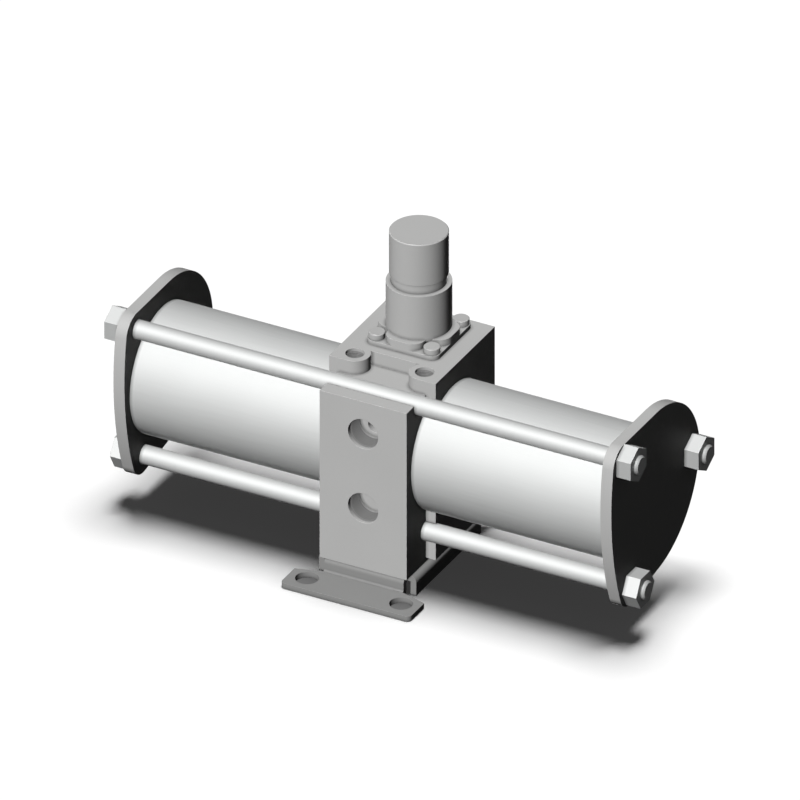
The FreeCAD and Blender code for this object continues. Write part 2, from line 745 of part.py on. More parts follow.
def draw_cover_outline(sketch):
    """Three rounded lobes round the tie rods, joined by bulging sides: a chain of tangent arcs and lines.

    The chain runs anticlockwise from the front upper lobe: front side, bottom lobe, underside line, underside
    arc, rear lobe, top arc, top line and back to the first lobe.
    """
    lobe = d.cover_lobe_radius
    upper = (d.tie_rod_front_y - d.cover_lobe_shift_y, d.tie_rod_front_rise - d.cover_upper_shift_z)
    lower = (d.tie_rod_bottom_y - d.cover_lobe_shift_y, -d.tie_rod_bottom_drop + d.cover_lower_shift_z)
    rear = (d.tie_rod_rear_y, d.tie_rod_rear_rise)
    centres = [Vector(y.value, z.value, 0) for y, z in (upper, lower, rear)]
    slope = direction(d.cover_under_slope.value)
    outward = Vector(slope.y, -slope.x, 0)
    level = Vector(0, 1, 0)

    front_reach = d.cover_front_radius.value - lobe.value
    middle = (centres[0] + centres[1]) / 2
    half = (centres[0] - centres[1]).Length / 2
    across = Vector(0, 0, 1).cross(centres[1] - centres[0]).normalize()
    front_centre = middle + across * math.sqrt(front_reach ** 2 - half ** 2)

    def bulge_centre(lobe_centre, normal, radius):
        """The centre of the arc that runs on from a line at the lobe and ends inside the rear lobe."""
        base = lobe_centre + normal * (lobe.value - radius)
        along = Vector(0, 0, 1).cross(normal)
        if along.x < 0:
            along = along * -1
        offset = base - centres[2]
        reach = radius - d.cover_rear_radius.value
        share = offset.dot(along)
        return base + along * (-share - math.sqrt(share ** 2 - offset.dot(offset) + reach ** 2))

    top_centre = bulge_centre(centres[0], level, d.cover_top_radius.value)
    under_centre = bulge_centre(centres[1], outward, d.cover_under_radius.value)

    def inner_touch(big_centre, lobe_centre, lobe_radius):
        return lobe_centre + (lobe_centre - big_centre).normalize() * lobe_radius

    points = [
        centres[0] + level * lobe.value,
        inner_touch(front_centre, centres[0], lobe.value),
        inner_touch(front_centre, centres[1], lobe.value),
        centres[1] + outward * lobe.value,
        under_centre + outward * d.cover_under_radius.value,
        inner_touch(under_centre, centres[2], d.cover_rear_radius.value),
        inner_touch(top_centre, centres[2], d.cover_rear_radius.value),
        top_centre + level * d.cover_top_radius.value,
    ]
    pieces = [
        arc_between(centres[0], lobe.value, points[0], points[1]),
        arc_between(front_centre, d.cover_front_radius.value, points[1], points[2]),
        arc_between(centres[1], lobe.value, points[2], points[3]),
        Part.LineSegment(points[3], points[4]),
        arc_between(under_centre, d.cover_under_radius.value, points[4], points[5]),
        arc_between(centres[2], d.cover_rear_radius.value, points[5], points[6]),
        arc_between(top_centre, d.cover_top_radius.value, points[6], points[7]),
        Part.LineSegment(points[7], points[0]),
    ]
    for piece in pieces:
        sketch.addGeometry(piece, False)
    count = len(pieces)
    for index in range(count):
        sketch.addConstraint(Sketcher.Constraint("Tangent", index, 2, (index + 1) % count, 1))
    radii = {
        0: lobe, 1: d.cover_front_radius, 2: lobe, 4: d.cover_under_radius, 5: d.cover_rear_radius,
        6: d.cover_top_radius,
    }
    for index, radius in radii.items():
        held = sketch.addConstraint(Sketcher.Constraint("Radius", index, radius.value))
        bind(sketch, "Constraints[%d]" % held, radius)
    for index, centre in ((0, upper), (2, lower), (5, rear)):
        pin_point(sketch, index, 3, centre[0], centre[1])
    sketch.addConstraint(Sketcher.Constraint("Horizontal", 7))
    held = sketch.addConstraint(Sketcher.Constraint("Angle", 3, math.radians(d.cover_under_slope.value)))
    sketch.setExpression("Constraints[%d]" % held, d.cover_under_slope.text + " * 1deg")


def make_end_cover(name, side):
    body = new_body("end_cover_" + name, z=d.tube_axis_height)
    outline = new_sketch(body, "YZ", d.cover_inner_face * side)
    draw_cover_outline(outline)
    pad(body, outline, "YZ", d.cover_thickness, side)
    tip = d.cover_inner_face - d.spigot_length
    turn(body, "Revolution", "X", [(x * side, r) for x, r in spigot_profile(d.cover_inner_face + 1, tip)])
    drill(body, "YZ", tip * side, (0, 0), d.cover_recess_radius, d.cover_recess_depth, side)
    inner_face = d.cover_inner_face * side
    for y, z in TIE_RODS.values():
        drill(body, "YZ", inner_face, (y, above_axis(z)), tie_rod_hole, d.cover_thickness, side)
    return body


def make_tube_gaskets():
    """A sealing ring in each of the four spigot grooves."""
    inner = spigot_radius - d.ring_groove_depth + d.seat_clearance
    outer = tube_inner - d.seat_clearance
    members = []
    for name, side in SIDES.items():
        for where, tip, towards in (
            ("body", body_end, -1),
            ("cover", d.cover_inner_face - d.spigot_length, 1),
        ):
            start = tip + (d.ring_groove_edge + d.seat_clearance) * towards
            end = tip + (d.ring_groove_edge + d.ring_groove_width - d.seat_clearance) * towards
            label = "tube_gasket_%s_%s" % (where, name)
            members.append(ring(label, "X", start * side, end * side, inner, outer, z=d.tube_axis_height))
    return group("tube_gaskets", members)


def make_tie_rod(name, y, z):
    edge = tie_rod_end - d.tie_rod_chamfer
    tip = tie_rod_radius - d.tie_rod_chamfer
    points = [
        (-tie_rod_end, 0), (tie_rod_end, 0), (tie_rod_end, tip), (edge, tie_rod_radius),
        (-edge, tie_rod_radius), (-tie_rod_end, tip),
    ]
    return turned("tie_rod_" + name, "X", points, y=y, z=z)


def make_hex_nut(label, start, side, sizes, y, z, flat_on_top):
    """A nut that stands on start; sizes are its flats, its height and its bore's radius."""
    flats, height, bore = sizes
    body = new_body(label, y=y, z=z)
    sketch = new_sketch(body, "YZ", start * side)
    draw_hexagon(sketch, as_size(0), as_size(0), flats, flat_on_top)
    draw_circle(sketch, 0, 0, bore)
    pad(body, sketch, "YZ", height, side)
    return body


def make_tie_rod_nuts(name, side):
    """Three nuts on one end cover. The bottom one stands turned by half a flat."""
    bore = tie_rod_radius + d.seat_clearance
    sizes = (d.tie_nut_flats, d.tie_nut_height, bore)
    members = []
    for rod, (y, z) in TIE_RODS.items():
        label = "tie_rod_nut_%s_%s" % (rod, name)
        flat_on_top = rod == "bottom"
        members.append(make_hex_nut(label, cover_outer_face, side, sizes, y, z, flat_on_top))
    return group("tie_rod_nuts_" + name, members)


# Piston rod, pistons and what guides and seals them


def make_rod_guides():
    """In each end of the body: a bush, a seal and the ring that keeps the seal in."""
    bushes, seals, retainers = [], [], []
    seal_start = d.bush_start + d.bush_length
    for name, side in SIDES.items():
        bush_end = seal_start * side
        outer = d.rod_radius + d.bush_wall - d.seat_clearance
        inner = d.rod_radius + d.rod_clearance
        height = d.tube_axis_height
        bushes.append(ring("rod_bush_" + name, "X", d.bush_start * side, bush_end, inner, outer, z=height))
        outer = d.rod_radius + d.rod_seal_section - d.seat_clearance
        inner = d.rod_radius + d.seal_clearance
        seal_end = (seal_start + d.rod_seal_width) * side
        seals.append(ring("rod_seal_" + name, "X", bush_end, seal_end, inner, outer, z=height))
        outer = d.rod_radius + d.retainer_section - d.seat_clearance
        inner = d.rod_radius + d.rod_relief
        start = (body_end - d.retainer_width) * side
        retainers.append(ring("seal_retainer_" + name, "X", start, body_end * side, inner, outer, z=height))
    return [group("rod_bushes", bushes), group("rod_seals", seals), group("rod_seal_retainers", retainers)]


def make_piston_rod():
    shoulder = d.piston_inner_face
    end = piston_outer_face
    edge = end - d.rod_chamfer
    tip = d.rod_stub_radius - d.rod_chamfer
    points = [
        (-end, 0), (end, 0), (end, tip), (edge, d.rod_stub_radius), (shoulder, d.rod_stub_radius),
        (shoulder, d.rod_radius), (-shoulder, d.rod_radius), (-shoulder, d.rod_stub_radius),
        (-edge, d.rod_stub_radius), (-end, tip),
    ]
    return turned("piston_rod", "X", points, z=d.tube_axis_height)


def make_piston(name, side):
    """A disc with a pocket for its nut, a groove for its seal and one for its wear ring."""
    face = d.piston_inner_face
    seal_near = face + d.piston_seal_start
    seal_far = seal_near + d.piston_seal_width
    seal_root = piston_seal_radius - d.piston_seal_section
    wear_near = face + d.wear_ring_start
    wear_far = wear_near + d.wear_ring_width
    wear_root = piston_seal_radius - d.wear_ring_section
    web = face + d.piston_web
    bore = d.rod_stub_radius + d.seat_clearance
    points = [
        (face, bore), (web, bore), (web, d.piston_pocket_radius), (piston_outer_face, d.piston_pocket_radius),
        (piston_outer_face, piston_radius), (wear_far, piston_radius), (wear_far, wear_root),
        (wear_near, wear_root), (wear_near, piston_radius), (seal_far, piston_radius), (seal_far, seal_root),
        (seal_near, seal_root), (seal_near, piston_radius), (face, piston_radius),
    ]
    return turned("piston_" + name, "X", [(x * side, r) for x, r in points], z=d.tube_axis_height)


def make_piston_rings():
    seals, wear_rings, nuts = [], [], []
    height = d.tube_axis_height
    gap = d.seat_clearance
    for name, side in SIDES.items():
        near = (d.piston_inner_face + d.piston_seal_start + gap) * side
        far = (d.piston_inner_face + d.piston_seal_start + d.piston_seal_width - gap) * side
        inner = piston_seal_radius - d.piston_seal_section + gap
        seals.append(ring("piston_seal_" + name, "X", near, far, inner, piston_seal_radius, z=height))
        near = (d.piston_inner_face + d.wear_ring_start + gap) * side
        far = (d.piston_inner_face + d.wear_ring_start + d.wear_ring_width - gap) * side
        inner = piston_seal_radius - d.wear_ring_section + gap
        wear_rings.append(ring("wear_ring_" + name, "X", near, far, inner, piston_seal_radius, z=height))
        start = d.piston_inner_face + d.piston_web
        sizes = (d.piston_nut_flats, d.piston_nut_height, d.rod_stub_radius + gap)
        nuts.append(make_hex_nut("piston_nut_" + name, start, side, sizes, 0, height, True))
    return [
        group("piston_seals", seals), group("piston_wear_rings", wear_rings), group("piston_nuts", nuts),
    ]


# Check valves


def check_valve_place(side, level):
    return {"y": d.check_valve_y, "z": d.tube_axis_height + d.check_valve_rise * level}


def check_valve_stations(level):
    """Distances from the body's middle: the seat's outer end and face, the cage's web and far end.

    An inlet valve opens towards the cylinder and an outlet valve away from it, so one is the other turned
    round.
    """
    bottom = body_end - d.check_pocket_depth
    if level == LOWER:
        return bottom, bottom + d.check_seat_thickness, body_end - d.cage_web, body_end, 1
    return body_end, body_end - d.check_seat_thickness, bottom + d.cage_web, bottom, -1


def make_check_valves():
    seats, cages, moving, springs = [], [], [], []
    for kind, level in CHECK_VALVES.items():
        back, face, web, end, opens = check_valve_stations(level)
        for name, side in SIDES.items():
            spot = check_valve_place(side, level)
            label = "%s_valve_%s" % (kind, name)
            ends = (back * side, face * side)
            seats.append(ring(label + "_seat", "X", *ends, d.check_seat_hole, d.check_radius, **spot))
            cages.append(make_check_cage(label + "_cage", side, face, web, end, spot))
            disc = (face + d.poppet_thickness * opens) * side
            tip = (face + (d.poppet_thickness + d.poppet_stem_length) * opens) * side
            profile = [
                (face * side, 0), (tip, 0), (tip, d.poppet_stem_radius), (disc, d.poppet_stem_radius),
                (disc, d.poppet_radius), (face * side, d.poppet_radius),
            ]
            moving.append(turned(label, "X", profile, **spot))
            springs.append(
                coil_spring(
                    label + "_spring", "X", disc, web * side, d.check_spring_radius, d.check_spring_wire,
                    d.check_spring_turns, **spot
                )
            )
    return [group("check_valve_seats", seats), group("check_valve_cages", cages)] + moving + springs


def make_check_cage(label, side, face, web, end, spot):
    """A cup that holds the seat down and guides the valve's stem, with three holes through its web."""
    inner = d.check_radius - d.cage_wall
    guide = d.poppet_stem_radius + d.stem_clearance
    outer = d.check_radius
    points = [(web, guide), (end, guide), (end, outer), (face, outer), (face, inner), (web, inner)]
    cage = turned(label, "X", [(x * side, r) for x, r in points], **spot)
    flow = new_sketch(cage, "YZ", web * side)
    for step in range(3):
        angle = math.radians(90 + 120 * step)
        east, north = round(math.cos(angle), 12), round(math.sin(angle), 12)
        draw_circle(flow, d.cage_flow_circle * east, d.cage_flow_circle * north, d.cage_flow_hole)
    towards = side if end.value > web.value else -side
    pocket(cage, flow, "YZ", d.cage_web, towards)
    return cage


# Pilot valves


def make_pilot_valves():
    bushes, rest = [], []
    spot = {"y": d.pilot_y, "z": pilot_level}
    for name, side in SIDES.items():
        bore = d.pilot_pin_radius + d.stem_clearance
        ends = (d.block_half_width * side, body_end * side)
        bushes.append(ring("pilot_bush_" + name, "X", *ends, bore, d.pilot_bush_radius, **spot))
        collar_back = (d.block_half_width - d.pilot_collar_width) * side
        collar_face = d.block_half_width * side
        tip = (body_end + d.pilot_pin_stand_out) * side
        profile = [
            (collar_back, 0), (tip, 0), (tip, d.pilot_pin_radius), (collar_face, d.pilot_pin_radius),
            (collar_face, d.pilot_collar_radius), (collar_back, d.pilot_collar_radius),
        ]
        rest.append(turned("pilot_pin_" + name, "X", profile, **spot))
        cavity_bottom = (d.block_half_width - d.pilot_cavity_depth) * side
        coil = (d.pilot_spring_radius, d.pilot_spring_wire, d.pilot_spring_turns)
        rest.append(coil_spring("pilot_spring_" + name, "X", cavity_bottom, collar_back, *coil, **spot))
    return [group("pilot_bushes", bushes)] + rest


# Changeover valve


def sleeve_ring_stations():
    """Where the sealing rings sit along the sleeve, as shares of its length."""
    return [d.changeover_front_y + d.sleeve_length * share for share in (0.12, 0.37, 0.63, 0.88)]


def make_changeover_sleeve():
    start = d.changeover_front_y
    end = start + d.sleeve_length
    points = [(start, d.sleeve_bore), (end, d.sleeve_bore), (end, d.sleeve_radius)]
    root = d.sleeve_radius - d.sleeve_groove_depth
    half = d.sleeve_groove_width / 2
    for station in reversed(sleeve_ring_stations()):
        points += [
            (station + half, d.sleeve_radius), (station + half, root), (station - half, root),
            (station - half, d.sleeve_radius),
        ]
    points.append((start, d.sleeve_radius))
    sleeve = turned("changeover_sleeve", "Y", points, z=changeover_level)
    ports = new_sketch(sleeve, "XY")
    for share in (0.245, 0.5, 0.755):
        draw_circle(ports, 0, d.changeover_front_y + d.sleeve_length * share, d.sleeve_port_radius)
    pocket(sleeve, ports, "XY", d.sleeve_radius * 2 + 1)
    return sleeve


def make_sleeve_seals():
    root = d.sleeve_radius - d.sleeve_groove_depth + d.seat_clearance
    half = d.sleeve_groove_width / 2 - d.seat_clearance
    members = []
    for index, station in enumerate(sleeve_ring_stations(), start=1):
        label = "changeover_seal_%d" % index
        ends = (station - half, station + half)
        members.append(ring(label, "Y", *ends, root, d.sleeve_radius, z=changeover_level))
    return group("changeover_seals", members)


def spool_lands():
    """The front end of each of the spool's three lands."""
    start = d.changeover_front_y + d.spool_start
    step = (d.spool_length - d.spool_land) / 2
    return [start + step * index for index in range(3)]


def make_changeover_spool():
    lands = spool_lands()
    end = lands[-1] + d.spool_land
    ring_root = d.spool_radius - d.spool_ring_depth
    half = d.spool_ring_width / 2
    points = [(lands[0], 0), (end, 0)]
    for index in (2, 1, 0):
        near, far = lands[index], lands[index] + d.spool_land
        middle = near + d.spool_land / 2
        points += [(far, d.spool_radius), (middle + half, d.spool_radius), (middle + half, ring_root)]
        points += [(middle - half, ring_root), (middle - half, d.spool_radius), (near, d.spool_radius)]
        if index:
            points += [(near, d.spool_waist), (lands[index - 1] + d.spool_land, d.spool_waist)]
    return turned("changeover_spool", "Y", points, z=changeover_level)


def make_spool_seals():
    root = d.spool_radius - d.spool_ring_depth + d.seat_clearance
    half = d.spool_ring_width / 2 - d.seat_clearance
    members = []
    for index, near in enumerate(spool_lands(), start=1):
        middle = near + d.spool_land / 2
        label = "spool_seal_%d" % index
        ends = (middle - half, middle + half)
        members.append(ring(label, "Y", *ends, root, d.spool_radius, z=changeover_level))
    return group("spool_seals", members)


def make_changeover_plug():
    """A flush threaded plug with a hexagon socket."""
    start = d.box_rear_y - d.plug_depth
    points = [(start, 0), (d.box_rear_y, 0), (d.box_rear_y, d.plug_radius), (start, d.plug_radius)]
    plug = turned("changeover_plug", "Y", points, z=changeover_level)
    socket = new_sketch(plug, "XZ", d.box_rear_y)
    draw_hexagon(socket, as_size(0), as_size(0), d.plug_socket_flats)
    pocket(plug, socket, "XZ", d.plug_socket_depth, -1)
    return plug


# Bonnet


def make_bonnet():
    body = new_body("bonnet", y=d.governor_y)
    half = d.bonnet_half_width
    lugs = new_sketch(body, "XY", box_top)
    draw_rectangle(lugs, -half, half, -half, half)
    base = pad(body, lugs, "XY", d.bonnet_lug_height, 1)
    corners = [(half.value * east, half.value * north) for east, north in BONNET_BOLTS]
    dress(body, "Fillet", "Radius", base, d.bonnet_corner_radius, is_upright_at(corners))
    arm = d.plinth_arm_half_width
    for across, along in ((arm, half), (half, arm)):
        sketch = new_sketch(body, "XY", box_top)
        draw_rectangle(sketch, -across, across, -along, along)
        plinth = pad(body, sketch, "XY", d.plinth_height, 1)
    ends = [(arm.value * east, half.value * north) for east, north in BONNET_BOLTS]
    ends += [(y, x) for x, y in ends]
    dress(body, "Fillet", "Radius", plinth, d.plinth_arm_corner - d.seat_clearance, is_upright_at(ends))
    height = d.collar_height - d.plinth_height + 1
    collar = new_sketch(body, "XY", box_top + d.plinth_height - 1)
    draw_circle(collar, 0, 0, d.collar_radius)
    pad(body, collar, "XY", height, 1)
    cup_radius = d.knob_neck_radius + d.collar_clearance
    depth = collar_top - partition_top
    drill(body, "XY", collar_top, (0, 0), cup_radius, depth, -1)
    depth = d.partition_height
    drill(body, "XY", box_top, (0, 0), d.bonnet_chamber_radius, depth, 1)
    depth = d.partition_thickness
    drill(body, "XY", partition_bottom, (0, 0), d.screw_radius + d.turning_clearance, depth, 1)
    keyway = new_sketch(body, "XY", box_top + d.plinth_height)
    reach = d.bonnet_chamber_radius + d.nut_key_reach
    width = d.nut_key_width / 2 + d.key_clearance
    draw_rectangle(keyway, -width, width, -reach, reach)
    depth = d.partition_height - d.plinth_height
    pocket(body, keyway, "XY", depth, 1)
    radius = d.bonnet_bolt_radius + d.bolt_hole_clearance
    for east, north in BONNET_BOLTS:
        spot = (d.bonnet_bolt_offset * east, d.bonnet_bolt_offset * north)
        drill(body, "XY", box_top, spot, radius, d.bonnet_lug_height, 1)
    return body


def make_bonnet_screws():
    members = []
    seat = box_top + d.bonnet_lug_height
    top = seat + d.bonnet_bolt_head_height
    bottom = box_top - d.bonnet_bolt_depth
    edge = d.bonnet_bolt_head_radius - d.bolt_head_chamfer
    profile = [
        (bottom, 0), (top, 0), (top, edge), (top - d.bolt_head_chamfer, d.bonnet_bolt_head_radius),
        (seat, d.bonnet_bolt_head_radius), (seat, d.bonnet_bolt_radius), (bottom, d.bonnet_bolt_radius),
    ]
    for index, (east, north) in enumerate(BONNET_BOLTS, start=1):
        x = d.bonnet_bolt_offset * east
        y = d.governor_y + d.bonnet_bolt_offset * north
        members.append(turned("bonnet_screw_%d" % index, "Z", profile, x=x, y=y))
    return group("bonnet_screws", members)


# Diaphragm and governor valve


def make_diaphragm():
    bottom = box_top - d.diaphragm_thickness
    hole = d.governor_stem_radius + d.stem_clearance
    return ring("diaphragm", "Z", bottom, box_top, hole, d.diaphragm_radius, y=d.governor_y)


def make_diaphragm_plates():
    """A plate on each side of the diaphragm; the upper one has the boss that centres the main spring."""
    hole = d.governor_stem_radius + d.seat_clearance
    under = box_top - d.diaphragm_thickness
    bottom = under - d.diaphragm_plate_thickness
    lower = ring("diaphragm_plate_lower", "Z", bottom, under, hole, d.diaphragm_plate_radius, y=d.governor_y)
    seat = main_spring_seat
    top = seat + d.spring_boss_height
    profile = [
        (box_top, hole), (top, hole), (top, d.spring_boss_radius), (seat, d.spring_boss_radius),
        (seat, d.bonnet_chamber_radius - 1), (box_top, d.bonnet_chamber_radius - 1),
    ]
    upper = turned("diaphragm_plate_upper", "Z", profile, y=d.governor_y)
    return group("diaphragm_plates", [lower, upper])


def make_governor_valve():
    face = governor_seat_level
    bottom = face - d.governor_poppet_height
    tail = bottom - d.governor_tail_length
    top = main_spring_seat + d.spring_boss_height
    profile = [
        (tail, 0), (top, 0), (top, d.governor_stem_radius), (face, d.governor_stem_radius),
        (face, d.governor_poppet_radius), (bottom, d.governor_poppet_radius),
        (bottom, d.governor_stem_radius), (tail, d.governor_stem_radius),
    ]
    return turned("governor_valve", "Z", profile, y=d.governor_y)


def make_governor_seat():
    top = governor_seat_level + d.governor_seat_thickness
    outer = d.governor_bore_radius - d.seat_clearance
    return ring("governor_seat", "Z", governor_seat_level, top, d.governor_seat_hole, outer, y=d.governor_y)


def make_governor_springs():
    poppet_bottom = governor_seat_level - d.governor_poppet_height
    lower = coil_spring(
        "governor_valve_spring", "Z", box_top - d.governor_bore_depth, poppet_bottom, d.valve_spring_radius,
        d.valve_spring_wire, d.valve_spring_turns, y=d.governor_y
    )
    main = coil_spring(
        "main_spring", "Z", main_spring_seat, adjusting_nut_bottom, d.main_spring_radius, d.main_spring_wire,
        d.main_spring_turns, y=d.governor_y
    )
    return [lower, main]


# Adjusting screw, nut and knob


def make_adjusting_nut():
    """The spring's upper seat, threaded on the screw and kept from turning by two keys."""
    bottom = adjusting_nut_bottom
    outer = d.bonnet_chamber_radius - d.adjusting_nut_clearance
    bore = d.screw_radius + d.turning_clearance
    body = new_body("adjusting_nut", y=d.governor_y)
    sketch = new_sketch(body, "XY", bottom)
    draw_circle(sketch, 0, 0, outer)
    pad(body, sketch, "XY", d.adjusting_nut_height, 1)
    keys = new_sketch(body, "XY", bottom)
    half = d.nut_key_width / 2
    reach = d.bonnet_chamber_radius + d.nut_key_reach - d.adjusting_nut_clearance
    draw_rectangle(keys, -half, half, -reach, reach)
    pad(body, keys, "XY", d.adjusting_nut_height, 1)
    drill(body, "XY", bottom, (0, 0), bore, d.adjusting_nut_height, 1)
    return body


def make_adjusting_screw():
    """Thread below, a flange under the bonnet's partition, and a hexagon that the knob slides on."""
    flange_top = partition_bottom
    flange_bottom = flange_top - d.screw_flange_height
    bottom = box_top + d.screw_tail
    clip_top = partition_top + d.clip_thickness + d.turning_clearance
    profile = [
        (bottom, 0), (clip_top, 0), (clip_top, d.screw_radius), (flange_top, d.screw_radius),
        (flange_top, d.screw_flange_radius), (flange_bottom, d.screw_flange_radius),
        (flange_bottom, d.screw_radius), (bottom, d.screw_radius),
    ]
    screw = turned("adjusting_screw", "Z", profile, y=d.governor_y)
    shank = new_sketch(screw, "XY", clip_top)
    draw_hexagon(shank, as_size(0), as_size(0), d.screw_hex_flats)
    pad(screw, shank, "XY", knob_roof_under - d.screw_head_room - clip_top, 1)
    return screw


def make_screw_clip():
    bottom = partition_top + d.turning_clearance
    top = bottom + d.clip_thickness
    inner = d.screw_radius + d.seat_clearance
    return ring("screw_clip", "Z", bottom, top, inner, d.clip_radius, y=d.governor_y)


def make_knob():
    """A plain cap with a narrower neck that drops into the bonnet's collar when the knob is pushed down."""
    roof = knob_roof_under
    hub_bottom = knob_neck_bottom + d.knob_hub_rise
    inner = d.knob_neck_radius - d.knob_wall
    edge = d.knob_radius - d.knob_edge
    profile = [
        (hub_bottom, 0), (knob_top, 0), (knob_top, edge),
        (knob_top - d.knob_edge, d.knob_radius), (knob_bottom, d.knob_radius),
        (knob_bottom, d.knob_neck_radius), (knob_neck_bottom, d.knob_neck_radius),
        (knob_neck_bottom, inner), (roof, inner), (roof, d.knob_hub_radius),
        (hub_bottom, d.knob_hub_radius),
    ]
    knob = turned("knob", "Z", profile, y=d.governor_y)
    socket = new_sketch(knob, "XY", hub_bottom)
    draw_hexagon(socket, as_size(0), as_size(0), d.screw_hex_flats + d.turning_clearance * 2)
    pocket(knob, socket, "XY", roof - hub_bottom, 1)
    return knob


# Foot bracket


def make_mounting_bracket():
    """Bent sheet: a top plate with a flange down each side and a foot stepped down at each end."""
    body = new_body("mounting_bracket")
    sheet = d.sheet_thickness
    top = d.body_bottom_z
    face = d.neck_face_y
    inside = face - sheet
    reach = d.foot_end_y - d.foot_shoulder_y
    toe = face + reach / 2
    step = new_sketch(body, "YZ")
    draw_outline(step, [
        (-toe, 0), (-inside, 0), (-inside, top - sheet), (inside, top - sheet), (inside, 0), (toe, 0),
        (toe, sheet), (face, sheet), (face, top), (-face, top), (-face, sheet), (-toe, sheet),
    ])
    stepped = pad(body, step, "YZ", d.neck_half_width * 2)
    outer_bends = [(face.value, top.value), (-face.value, top.value), (inside.value, 0), (-inside.value, 0)]
    bent = dress(body, "Fillet", "Radius", stepped, d.neck_bend_radius, is_along_x_at(outer_bends))
    roots = [(face.value, sheet.value), (-face.value, sheet.value)]
    roots += [(inside.value, (top - sheet).value), (-inside.value, (top - sheet).value)]
    dress(body, "Fillet", "Radius", bent, d.neck_root_radius, is_along_x_at(roots))
    for towards in (-1, 1):
        foot = new_sketch(body, "XY")
        wide = d.foot_half_width
        neck = d.neck_half_width
        root = (face + d.neck_root_radius / 2) * towards
        end = d.foot_end_y * towards
        shoulder = d.foot_shoulder_y * towards
        draw_outline(foot, [
            (-wide, end), (wide, end), (wide, shoulder), (neck, root), (-neck, root), (-wide, shoulder),
        ])
        foot_pad = pad(body, foot, "XY", sheet, 1)
    ends = [(wide.value * east, d.foot_end_y.value * north) for east, north in BONNET_BOLTS]
    dress(body, "Fillet", "Radius", foot_pad, d.foot_corner_radius, is_upright_at(ends))
    flanges = new_sketch(body, "XZ")
    wide = d.flange_half_width
    inner = wide - sheet
    draw_outline(flanges, [
        (-wide, d.flange_bottom_z), (-inner, d.flange_bottom_z), (-inner, top - sheet), (inner, top - sheet),
        (inner, d.flange_bottom_z), (wide, d.flange_bottom_z), (wide, top), (-wide, top),
    ])
    channel = pad(body, flanges, "XZ", d.flange_end_y * 2)
    bends = [(wide.value, top.value), (-wide.value, top.value)]
    dress(body, "Fillet", "Radius", channel, d.flange_bend_radius, is_along_y_at(bends))
    for east, north in BONNET_BOLTS:
        spot = (d.foot_hole_pitch_x / 2 * east, d.foot_hole_pitch_y / 2 * north)
        drill(body, "XY", sheet, spot, d.foot_hole_radius, sheet, -1)
        spot = (d.bracket_bolt_x * east, d.bracket_bolt_y * north)
        radius = d.bracket_bolt_radius + d.bolt_hole_clearance
        drill(body, "XY", top, spot, radius, sheet, -1)
    return body


def make_bracket_screws():
    """Low-headed socket screws that come up through the bracket into the body."""
    under = d.body_bottom_z - d.sheet_thickness
    bottom = under - d.bracket_bolt_head_height
    top = d.body_bottom_z + d.bracket_bolt_depth
    edge = d.bracket_bolt_head_radius - d.bolt_head_chamfer * 2
    profile = [
        (bottom, 0), (top, 0), (top, d.bracket_bolt_radius), (under, d.bracket_bolt_radius),
        (under, d.bracket_bolt_head_radius), (bottom + d.bolt_head_chamfer * 2, d.bracket_bolt_head_radius),
        (bottom, edge),
    ]
    members = []
    for index, (east, north) in enumerate(BONNET_BOLTS, start=1):
        label = "bracket_screw_%d" % index
        screw = turned(label, "Z", profile, x=d.bracket_bolt_x * east, y=d.bracket_bolt_y * north)
        socket = new_sketch(screw, "XY", bottom)
        draw_hexagon(socket, as_size(0), as_size(0), d.bracket_bolt_socket_flats)
        pocket(screw, socket, "XY", d.bracket_bolt_socket_depth, 1)
        members.append(screw)
    return group("bracket_screws", members)


def build_nodes():
    nodes = [make_center_body(), make_mounting_bracket(), make_bracket_screws(), make_tube_gaskets()]
    for name, side in SIDES.items():
        nodes += [make_tube(name, side), make_end_cover(name, side), make_tie_rod_nuts(name, side)]
        nodes.append(make_piston(name, side))
    nodes += [make_tie_rod(name, y, z) for name, (y, z) in TIE_RODS.items()]
    nodes += make_rod_guides()
    nodes.append(make_piston_rod())
    nodes += make_piston_rings()
    nodes += make_check_valves()
    nodes += make_pilot_valves()
    nodes += [make_changeover_sleeve(), make_sleeve_seals(), make_changeover_spool(), make_spool_seals()]
    nodes.append(make_changeover_plug())
    nodes += [make_bonnet(), make_bonnet_screws(), make_diaphragm(), make_diaphragm_plates()]
    nodes += [make_governor_valve(), make_governor_seat()]
    nodes += make_governor_springs()
    nodes += [make_adjusting_nut(), make_adjusting_screw(), make_screw_clip(), make_knob()]
    return nodes


def check_document(nodes):
    """Stop before anything is written if an object failed or a piece has no valid solid."""
    for item in doc.Objects:
        if "Invalid" in item.State or "Error" in item.State:
            raise ValueError("%s (%s) failed: %s" % (item.Label, item.Name, item.State))
    for node in nodes:
        if node.Shape.isNull() or not node.Shape.isValid() or not node.Shape.Solids:
            raise ValueError("%s has no valid solid" % node.Label)


fill_sheet()
NODES = build_nodes()
doc.recompute()
check_document(NODES)
os.makedirs("parts", exist_ok=True)
for node in NODES:
    node.Shape.exportStep("parts/%s.step" % node.Label)
print("%d nodes, %d solids" % (len(NODES), sum(len(node.Shape.Solids) for node in NODES)))
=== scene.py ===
"""Looks of the air pressure booster: finishes, threads in its ports, wound springs, and a studio."""

